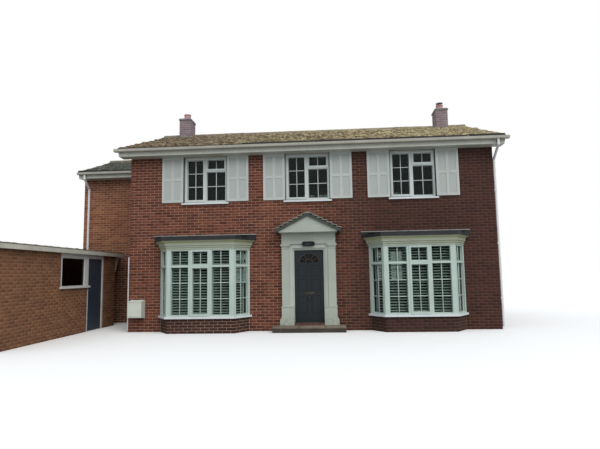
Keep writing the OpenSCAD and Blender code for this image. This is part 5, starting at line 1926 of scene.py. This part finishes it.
@dataclass
class Bays:
    """The canted bays: bars, lead roof with rolls, and the finishes.

    Attributes:
        depth: How far a bay stands out.
        front_half: Half the width of its front.
        half: Half its width at the wall.
        foot_z: The height of the foot of the lights.
        transom: The heights between which the transom lies.
        head_z: The height of the lights' head.
        roof_z: The height of the roof's top.
    """

    depth: float = 0.48
    front_half: float = 0.885
    half: float = 1.22
    foot_z: float = 0.4656
    transom: tuple[float, float] = (1.69, 1.74)
    head_z: float = 2.1202
    roof_z: float = 2.49
    rng: np.random.Generator = seeded(61)

    def lights(self, u0: float, u1: float, k: float) -> list[tuple[float, float, float, float, int]]:
        """The lower and the upper light between two lines, with the number of panes up.

        Args:
            u0: The left line.
            u1: The right line.
            k: How much an opening sash takes off each side.
        """
        low, high = self.transom
        return [(u0 + k, u1 - k, self.foot_z + k, low - k, 3), (u0 + k, u1 - k, high + k, self.head_z - k, 1)]

    def joinery(self) -> Shape:
        """The glazing bars and beads of both bays.

        Returns:
            The bars and beads.
        """
        s = SIZES
        work = Windows()
        bar = arrised_box(0.5, work.bar_d, work.bar, 0.005)
        ring = moulded_ring(work.bead, 0.024, 0.006)
        cant = math.hypot(self.half - self.front_half, self.depth)
        parts = []
        for x in (-s.side_x, s.side_x):
            y = -s.half_y
            left = Plane.between((x - self.half, y), (x - self.front_half, y - self.depth))
            right = Plane.between((x + self.front_half, y - self.depth), (x + self.half, y))
            front = Plane(x, y - self.depth)
            fields = [(front, -0.77, -0.31, 0.0), (front, -0.226, 0.226, 0.025), (front, 0.31, 0.77, 0.0)]
            fields += [(left, 0.0805, cant - 0.0805, 0.0), (right, 0.0805, cant - 0.0805, 0.0)]
            for plane, u0, u1, k in fields:
                bars: list[Box] = []
                beads: list[Box] = []
                for a, b, z0, z1, rows in self.lights(u0, u1, k):
                    bars += work.bars(a, b, z0, z1, 0.038, 2, rows)
                    beads.append((a - 0.001, 0.046, z0 - 0.001, b + 0.001, 0.070, z1 + 0.001))
                parts.append(bar.stretched(bars, self.rng).on(plane))
                parts.append(ring.stretched(beads, self.rng).on(plane))
        return joined(parts)

    def roll(self) -> Shape:
        """A wood-cored lead roll along Y, half round, to be stretched to its length.

        Returns:
            The roll.
        """
        pole = {"vertices": 12, "radius": 0.022, "depth": 0.5, "rotation": UPRIGHT}
        blank = Blank(bpy.ops.mesh.primitive_cylinder_add, **pole).cut_below(-0.012)
        return blank.pick(Pick.EDGES, lambda m, d: abs(m.y) > 0.249).bevel(0.006).shape()

    def rolls(self) -> Shape:
        """The lead rolls of both roofs.

        Returns:
            The rolls.
        """
        s = SIZES
        y, z = -s.half_y, self.roof_z
        middles = [x + u for x in (-s.side_x, s.side_x) for u in (-0.75, -0.25, 0.25, 0.75)]
        boxes = [(x - 0.014, y - self.depth - 0.12, z - 0.003, x + 0.014, y - 0.02, z + 0.014) for x in middles]
        return self.roll().stretched(boxes, self.rng)

    def cover_flashings(self) -> Shape:
        """The bright lead strips that turn down over the top of each roof's upstand.

        Returns:
            The strips.
        """
        s = SIZES
        strip = arrised_box(0.5, 0.012, 0.05, 0.003)
        boxes: list[Box] = []
        for x in (-s.side_x, s.side_x):
            edges = np.linspace(x - 1.41, x + 1.41, 4)
            for a, b in zip(edges[:-1], edges[1:]):
                boxes.append((a, -s.half_y - 0.02, 2.541, b - 0.004, -s.half_y - 0.004, 2.5645))
        return strip.stretched(boxes, self.rng)

    def build(self) -> None:
        """Dresses the bays and makes their trim."""
        gloss = Paint("bay_gloss", "#b4c4bb", "#a8b7af", grime="#838a80", dirt=0.18, rough=0.35, algae=0.45)
        white = dress(gloss, "bay_frames")
        stain = (2.30, "#a3a987")
        gloss = Paint("cornice_gloss", "#a7af9f", "#989f8c", grime="#7d836f", dirt=0.3, rough=0.4, band=stain)
        dress(gloss, "bay_cornices")
        dress(Paint("louvre_paint", "#d2d7d5", "#c6cbca", dirt=0.1, rough=0.5), "bay_louvres")
        dress(WindowGlass("bay_float_glass", "#d3dcd7", mirror="#4a554b"), "bay_glass")
        greys = ("#0e0f12", "#16171a", "#212326")
        sheet = Weathered("dark_lead", greys, patch=0.3, rough=0.75, spots="#4d4f49", spotted=0.74)
        lead = dress(sheet, "bay_roofs")
        make_piece("bay_glazing_bars", self.joinery(), "frame_white", white)
        make_piece("bay_lead_rolls", self.rolls(), "lead", lead, smooth=40)
        pale = Weathered("bright_lead", ("#83837d", "#95958c"), patch=0.4, rough=0.6, spotted=0.9).make()
        make_piece("bay_cover_flashings", self.cover_flashings(), "lead", pale)


@dataclass
class Doorway:
    """The door surround, the leaf's mouldings, its furniture, the plaque and the step.

    Attributes:
        face_y: The line of the leaf's outer face.
        foot_z: The height of the leaf's foot.
        height: The height of the leaf.
        width: The width of the leaf.
    """

    face_y: float = -3.151
    foot_z: float = 0.233
    height: float = 1.88
    width: float = 0.8
    rng: np.random.Generator = seeded(71)

    def up(self, share: float) -> float:
        """The height in the leaf for a share of its height."""
        return self.foot_z + self.height * share

    def leaf_mouldings(self) -> Shape:
        """The bolection mouldings round the six panels.

        Returns:
            The mouldings.
        """
        ring = moulded_ring(0.016, 0.014, 0.006)
        boxes: list[Box] = []
        for side in (-1, 1):
            for low, high in ((0.11, 0.36), (0.42, 0.59), (0.62, 0.785)):
                u, half, edge, y = side * self.width * 0.22, self.width * 0.155, 0.006, self.face_y
                z0, z1 = self.up(low) - edge, self.up(high) + edge
                boxes.append((u - half - edge, y - 0.004, z0, u + half + edge, y + 0.01, z1))
        return ring.stretched(boxes, self.rng)

    def sunburst(self) -> Shape:
        """The rays, the inner arc and the rim of the fanlight.

        Returns:
            The sunburst.
        """
        radius, squat, inside, ray_l = self.width * 0.335, 0.9, 0.34, 0.16
        ray = arrised_box(ray_l, 0.010, 0.009, 0.0025)
        ring = {"major_radius": 1.0, "minor_radius": 0.006, "major_segments": 40, "minor_segments": 6}
        arc = Blank(bpy.ops.mesh.primitive_torus_add, rotation=UPRIGHT, **ring).cut_below(0).shape()
        parts = []
        y = self.face_y + 0.011
        z = self.up(0.82)
        for scale, thick in ((radius * 0.985, 1.3), (radius * inside, 1.0)):
            points = arc.points.copy()
            flat = np.hypot(points[:, 0], points[:, 2])
            tube = (flat - 1.0) * thick
            points[:, 0] = points[:, 0] / flat * (scale + tube)
            points[:, 2] = points[:, 2] / flat * (scale * squat + tube)
            points[:, 1] = points[:, 1] * thick + y
            points[:, 2] += z
            parts.append(Shape(points, arc.corners, arc.counts, arc.tone))
        turns, places = [], []
        for k in range(1, 6):
            a = math.pi * k / 6
            foot, tip = (
                np.array([math.cos(a), 0.0, math.sin(a) * squat]) * radius * share for share in (inside, 0.98)
            )
            way = tip - foot
            length = float(np.linalg.norm(way)) / ray_l
            turn = Matrix.Rotation(-math.atan2(way[2], way[0]), 3, "Y") @ Matrix.Diagonal((length, 1.0, 1.0))
            turns.append(np.array(turn))
            places.append((foot + tip) / 2 + np.array([0.0, y, z]))
        parts.append(ray.placed(np.array(turns), np.array(places), self.rng))
        return joined(parts)

    def furniture(self) -> Shape:
        """The knob on its rose, the letterplate with its flap, and the lock.

        Returns:
            The furniture.
        """
        rose = {"vertices": 32, "radius": 0.034, "fill_type": "NGON", "rotation": UPRIGHT}
        blank = Blank(bpy.ops.mesh.primitive_circle_add, **rose).all()
        outline = [(0.033, 0.004), (0.028, 0.008), (0.013, 0.010), (0.012, 0.024), (0.021, 0.030)]
        outline += [(0.030, 0.038), (0.031, 0.045), (0.026, 0.053), (0.014, 0.057)]
        radius, out = 0.034, 0.0
        for r, y in outline:
            blank.extrude(y=out - y).do(bpy.ops.transform.resize, value=(r / radius, 1, r / radius))
            radius, out = r, y
        knob = blank.facing_out().shape()
        plate, flap = arrised_box(0.254, 0.007, 0.058, 0.003, 2), arrised_box(0.2, 0.006, 0.036, 0.002, 2)
        y, mid = self.face_y, (self.up(0.375) + self.up(0.402)) / 2
        lock = round_lock(24, 0.021, 0.003).moved(self.width * 0.43, y - 0.006, self.up(0.52))
        letterplate = [plate.moved(0.0, y - 0.0035, mid), flap.moved(0.0, y - 0.008, mid)]
        return joined([knob.moved(0.0, y, self.up(0.325)), *letterplate, lock])

    def pediment_tiles(self) -> Shape:
        """Small plain tiles on the two slopes of the pediment, with a bonnet along the top.

        Returns:
            The tiles and the bonnet.
        """
        tile = arrised_box(0.16, 0.148, 0.013, 0.003)
        depth, half, rise, rows = 0.394, 0.855, 0.390 / 0.765, 7
        angle = math.atan(rise)
        gauge = half / math.cos(angle) / rows
        back = -SIZES.half_y
        widths = ((0.0, 0.149, 0.298, 0.394), (0.0, 0.0745, 0.2235, 0.394))
        low_z = 2.590 - 0.09 * rise + 0.07
        shapes = []
        for side in (-1, 1):
            boxes = []
            for row in range(rows):
                for a, b in zip(widths[row % 2][:-1], widths[row % 2][1:]):
                    low = (row * gauge - 0.004, -b + 0.0015, 0.002)
                    boxes.append((*low, (row + 1) * gauge, -a - 0.0015, 0.019))
            laid = tile.stretched(boxes, self.rng)
            points = laid.points
            row_of = np.repeat(np.arange(len(boxes)) // 3, len(tile.points))
            points[:, 2] += 0.036 * (1 - (points[:, 0] - row_of * gauge) / gauge)
            x = half - points[:, 0] * math.cos(angle) + points[:, 2] * math.sin(angle)
            z = low_z + points[:, 0] * math.sin(angle) + points[:, 2] * math.cos(angle)
            made = Shape(np.stack([x, points[:, 1] + back, z], 1), laid.corners, laid.counts, laid.tone)
            shapes.append(made.mirrored(0) if side < 0 else made)
        ridge = arrised_box(0.11, 0.37, 0.03, 0.012, 2)
        shapes.append(ridge.stretched([(-0.05, back - depth, 3.052, 0.05, back - 0.002, 3.072)], self.rng))
        return joined(shapes)

    def plaque_rim(self) -> Shape:
        """A raised rim round the bare plaque.

        Returns:
            The rim.
        """
        disc = {"vertices": 24, "radius": 0.052, "depth": 0.003, "rotation": UPRIGHT}
        blank = Blank(bpy.ops.mesh.primitive_cylinder_add, **disc)
        blank.pick(Pick.POINTS, lambda m, d: m.x > 0.001).shift(0.1)
        blank.pick(Pick.POINTS, lambda m, d: m.x < -0.001).shift(-0.1)
        blank.pick(Pick.FACES, facing_front).do(bpy.ops.mesh.inset, thickness=0.005).extrude(y=0.0022)
        return blank.shape().moved(0.0, -SIZES.half_y - 0.1415, 2.260)

    def step_slabs(self) -> Shape:
        """The three slabs of the step.

        Returns:
            The slabs.
        """
        y, gap = -SIZES.half_y, 0.004
        cuts = (-0.938, -0.262, 0.402, 0.938)
        boxes = [(a + gap, y - 0.467, 0.098, b - gap, y - 0.002, 0.154) for a, b in zip(cuts[:-1], cuts[1:])]
        return arrised_box(0.6, 0.4, 0.05, 0.006).stretched(boxes, self.rng)

    def quarry_tiles(self) -> Shape:
        """The red tiles of the threshold.

        Returns:
            The tiles.
        """
        tile = arrised_box(0.15, 0.15, 0.015, 0.002)
        boxes: list[Box] = []
        for k in range(5):
            x0 = -0.39 + k * 0.156
            boxes.append((x0 + 0.002, -3.3415, 0.184, x0 + 0.154, -3.235, 0.1925))
            boxes.append((x0 + 0.002, -3.3445, 0.153, x0 + 0.154, -3.338, 0.1905))
        return tile.stretched(boxes, self.rng)

    def build(self) -> None:
        """Dresses the doorway and makes its details."""
        gloss = Paint("surround_gloss", "#a5aba0", "#9aa095", grime="#7f857a", dirt=0.14, rough=0.4, algae=0.5)
        dress(gloss, "door_pilasters", "door_pediment")
        dress(Paint("door_frame_gloss", "#b5bbb2", "#a9afa5", grime="#82877c", dirt=0.14, rough=0.4), "door_frame")
        enamel = Paint("door_enamel", "#0b1216", "#10181c", grime="#2f3334", dirt=0.2, rough=0.4, shine=0.3)
        leaf = dress(enamel, "front_door")
        dress(WindowGlass("amber_glass", "#6b5136"), "door_fanlight")
        enamel = Paint("plaque_enamel", "#111214", "#191a1c", grime="#2c2d2b", dirt=0.2, rough=0.45, shine=0.25)
        black = dress(enamel, "name_plaque")
        # The bed under the pediment tiles is painted dark, as the shade under their edge.
        dress(Weathered("shaded_tile_bed", ("#262925", "#343833", "#444841"), patch=0.15), "pediment_roof")
        # The step's base is painted dark, as the shade under the slabs.
        dress(Weathered("shaded_step_base", ("#28221d", "#362f28", "#453c33"), patch=0.3), "doorstep")
        greens = ("#71776d", "#8e948a", "#a8ada1")
        tile = Weathered("mossy_small_tile", greens, patch=0.15, spots="#7f8455", spotted=0.64).make()
        make_piece("pediment_tiles", self.pediment_tiles(), "slate", tile)
        browns = ("#5c5246", "#766b5c", "#8b806f")
        stone = Weathered("worn_step_concrete", browns, patch=0.3, spots="#5d5a40", spotted=0.64).make()
        make_piece("step_slabs", self.step_slabs(), "step_stone", stone)
        reds = ("#4b2622", "#5c2f29", "#6b3931")
        red = Weathered("quarry_tile", reds, patch=0.15, rough=0.55, spots="#7d6a58").make()
        make_piece("threshold_tiles", self.quarry_tiles(), "step_stone", red)
        on_leaf = {"body": Body.FRONT_LEAF}
        make_piece("leaf_mouldings", self.leaf_mouldings(), "door_paint", leaf, **on_leaf)
        came = Weathered("fanlight_lead", ("#3d3833", "#544d45"), patch=0.1, rough=0.6, spotted=0.9).make()
        make_piece("fanlight_sunburst", self.sunburst(), "door_paint", came, smooth=40, **on_leaf)
        dull = {"patch": 0.03, "depth": 0.0004, "rough": 0.45, "metallic": 0.9, "spotted": 0.9}
        brass = Weathered("dulled_brass", ("#37342d", "#4c483d"), **dull).make()
        stands_for = {"replaces": ["door_furniture"], "smooth": 35}
        make_piece("knob_and_letterplate", self.furniture(), "brass", brass, **on_leaf, **stands_for)
        make_piece("plaque_rim", self.plaque_rim(), "plaque_black", black)


@dataclass
class MeterBox:
    """The meter box's door and lock.

    Attributes:
        x0: Its left edge.
        width: Its width.
        face_y: The line of its front.
        foot_z: The height of its foot at the front.
        height: Its height at the front.
    """

    x0: float = -4.811
    width: float = 0.382
    face_y: float = -3.461
    foot_z: float = 0.4
    height: float = 0.41

    def door(self) -> Shape:
        """A moulded door with rounded corners, a lip along its top and a round lock.

        Returns:
            The door.
        """
        size = (self.width - 0.05, 0.008, self.height - 0.06)
        blank = Blank(bpy.ops.mesh.primitive_cube_add, scale=size, size=1)
        blank.pick(Pick.EDGES, lambda m, d: abs(d.y) > 0.9).bevel(0.035, 5)
        blank.pick(Pick.FACES, facing_front).do(bpy.ops.mesh.inset, thickness=0.018).extrude(y=0.003)
        x, y, z = self.x0 + self.width / 2, self.face_y, self.foot_z + self.height / 2
        panel = blank.shape().moved(x, y - 0.004, z)
        lip = arrised_box(self.width + 0.012, 0.02, 0.014, 0.004, 2)
        lock = round_lock(20, 0.016, 0.004).moved(self.x0 + self.width - 0.06, y - 0.008, z)
        return joined([panel, lip.moved(x, y - 0.002, self.foot_z + self.height - 0.008), lock])

    def build(self) -> None:
        """Dresses the box and makes its door."""
        plastic = Paint("glass_fibre", "#cdd3c7", "#c2c9bb", grime="#8f9480", dirt=0.2, rough=0.55)
        make_piece("meter_box_door", self.door(), "meter_ivory", dress(plastic, "meter_box"), smooth=35)


@dataclass
class Garage:
    """The garage's finishes, window beads and roof edge.

    Attributes:
        face_x: The line of the right wall.
        roof_z: The height of the roof's top.
    """

    face_x: float = -6.139
    roof_z: float = 2.215
    rng: np.random.Generator = seeded(81)

    def beads(self) -> Shape:
        """The beads round the window.

        Returns:
            The beads.
        """
        ring = moulded_ring(0.014, 0.02, 0.006)
        plane = Plane(self.face_x, -4.287, 0.0, 1.0)
        return ring.stretched([(0.0, 0.02, 1.25, 1.09, 0.042, 1.985)], self.rng).on(plane)

    def edge_moss(self) -> Shape:
        """Moss and leaf litter along the roof's edge behind the fascia.

        Returns:
            The moss.
        """
        cushion = Roofs().cushion(9)
        s = SIZES
        count, front_l, z = 420, 3.1, self.roof_z + 0.004
        t = self.rng.random(count)
        back_y = -1.1
        along = s.garage_y0 - 0.05 + t * (back_y - s.garage_y0)
        size = self.rng.gamma(2.5, 0.012, count) + 0.015
        turns, places = [], []
        for k in range(count):
            form = Matrix.Diagonal((size[k] * 1.4, size[k], size[k] * 0.5))
            turns.append(np.array(Matrix.Rotation(self.rng.random() * math.tau, 3, "Z") @ form))
            away = abs(self.rng.normal(0.0, 0.05))
            if k % 3 == 0:
                places.append([s.garage_x0 - 0.06 + t[k] * front_l, s.garage_y0 - 0.05 + away, z])
            else:
                places.append([self.face_x + 0.085 - away, along[k], z])
        return cushion.placed(np.array(turns), np.array(places), self.rng)

    def build(self) -> None:
        """Dresses the garage."""
        greys = ("#2c2d2a", "#3c3d38", "#4c4c45")
        rough = {"patch": 0.5, "grain": 0.004, "depth": 0.003, "rough": 0.95}
        dress(Weathered("mineral_felt", greys, **rough, spots="#57573a", spotted=0.58), "garage_roof")
        edge = (2.196, "#6d6c60")
        board = Paint("garage_board_paint", "#c6c4b8", "#b5b3a6", grime="#6f6e5f", dirt=0.4, rough=0.6, band=edge)
        dress(board, "garage_fascia")
        gloss = Paint("garage_frame_paint", "#cecdca", "#bfbebb", grime="#7c7e7d", dirt=0.25, rough=0.45)
        white = dress(gloss, "garage_frame")
        gloss = Paint("garage_door_paint", "#2a313c", "#313844", grime="#3c4047", dirt=0.2, rough=0.45, shine=0.3)
        dress(gloss, "garage_door")
        make_piece("garage_window_beads", self.beads(), "garage_white", white)
        tile, moss = ("#2f2b22", "#453d2e"), ("#3d3a22", "#5a5430", "#6f673d")
        litter = MossyTile("leaf_litter", tile=tile, moss=moss, cover=0.5).make()
        make_piece("garage_edge_moss", self.edge_moss(), "felt", litter, smooth=60)


@dataclass(frozen=True)
class Studio:
    """The pale floor, the soft light and the camera at the photograph's angle.

    Attributes:
        place: Where the camera stands.
        yaw: How far it looks to the left, in radians.
        pitch: How far it looks up.
        roll: How far it leans.
        lens: The focal length in millimetres for a sensor 36 mm wide.
    """

    place: tuple[float, float, float] = (0.670, -15.683, 1.468)
    yaw: float = 0.0711
    pitch: float = 0.1051
    roll: float = -0.0166
    lens: float = 28.24

    def camera(self) -> None:
        """Sets up the camera."""
        data = bpy.data.cameras.new("camera")
        data.lens = self.lens
        data.sensor_width = 36.0
        data.clip_end = 500.0
        obj = bpy.data.objects.new("camera", data)
        bpy.context.scene.collection.objects.link(obj)
        cy, sy, cp, sp = math.cos(self.yaw), math.sin(self.yaw), math.cos(self.pitch), math.sin(self.pitch)
        ahead = Vector((-sy * cp, cy * cp, sp))
        right = Vector((cy, sy, 0.0))
        up = right.cross(ahead)
        across = math.cos(self.roll) * right + math.sin(self.roll) * up
        upward = -math.sin(self.roll) * right + math.cos(self.roll) * up
        turn = Matrix((across, upward, -ahead)).transposed()
        obj.matrix_world = Matrix.Translation(Vector(self.place)) @ turn.to_4x4()
        bpy.context.scene.camera = obj

    def floor(self) -> None:
        """Lays a plain pale floor that throws back less light than it shows."""
        bpy.ops.object.select_all(action="DESELECT")
        bpy.ops.mesh.primitive_plane_add(size=240, location=(0, 0, -0.002))
        obj = bpy.context.active_object
        obj.name = "floor"
        bpy.ops.object.transform_apply(location=True)
        coat = Coat("studio_floor")
        path = add_node(coat.tree, "LightPath").outputs
        seen = coat.sum("MAXIMUM", path["Is Camera Ray"], path["Is Glossy Ray"])
        seen = coat.sum("MAXIMUM", seen, path["Is Transmission Ray"])
        surface = {"Base Color": coat.blend(seen, "#8f8f8c", "#f4f4f2"), "Roughness": 0.9}
        feed(coat.tree, coat.shader, surface)
        obj.data.materials.append(coat.material)

    def light(self) -> None:
        """An even pale sky with a broad soft lamp from the front right."""
        world = bpy.data.worlds.new("overcast")
        bpy.context.scene.world = world
        world.use_nodes = True
        tree = world.node_tree
        out = tree.nodes["Background"]
        out.inputs["Color"].default_value = linear("#eef3fb")
        out.inputs["Strength"].default_value = 0.95
        white = add_node(tree, "Background", {"Color": (1.0, 1.0, 1.0, 1.0), "Strength": 1.0})
        path = add_node(tree, "LightPath").outputs
        rays = {0: path["Is Camera Ray"], 1: path["Is Transmission Ray"]}
        seen = add_node(tree, "Math", rays, operation="MAXIMUM").outputs[0]
        mix = add_node(tree, "MixShader", {0: seen, 1: out.outputs["Background"], 2: white.outputs["Background"]})
        tree.links.new(mix.outputs["Shader"], tree.nodes["World Output"].inputs["Surface"])
        lamp = bpy.data.lights.new("soft_sky_lamp", "SUN")
        lamp.energy = 1.8
        lamp.angle = math.radians(50)
        lamp.color = (1.0, 0.985, 0.96)
        obj = bpy.data.objects.new("soft_sky_lamp", lamp)
        obj.rotation_euler = (math.radians(48), math.radians(10), math.radians(20))
        bpy.context.scene.collection.objects.link(obj)

    def build(self) -> None:
        """Sets up everything round the house."""
        self.camera()
        self.floor()
        self.light()
        bpy.context.scene.view_settings.view_transform = "Standard"


def main() -> None:
    """Builds the house's parts in order."""
    logging.basicConfig(level=logging.INFO, format="%(name)s: %(message)s")
    bpy.ops.object.select_all(action="DESELECT")
    for kind in (Studio, Walls, Roofs, Chimneys, Eaves, Windows, Bays, Doorway, MeterBox, Garage):
        kind().build()
        LOG.info("%s done", kind.__name__)
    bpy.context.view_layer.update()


if __name__ == "__main__":
    main()
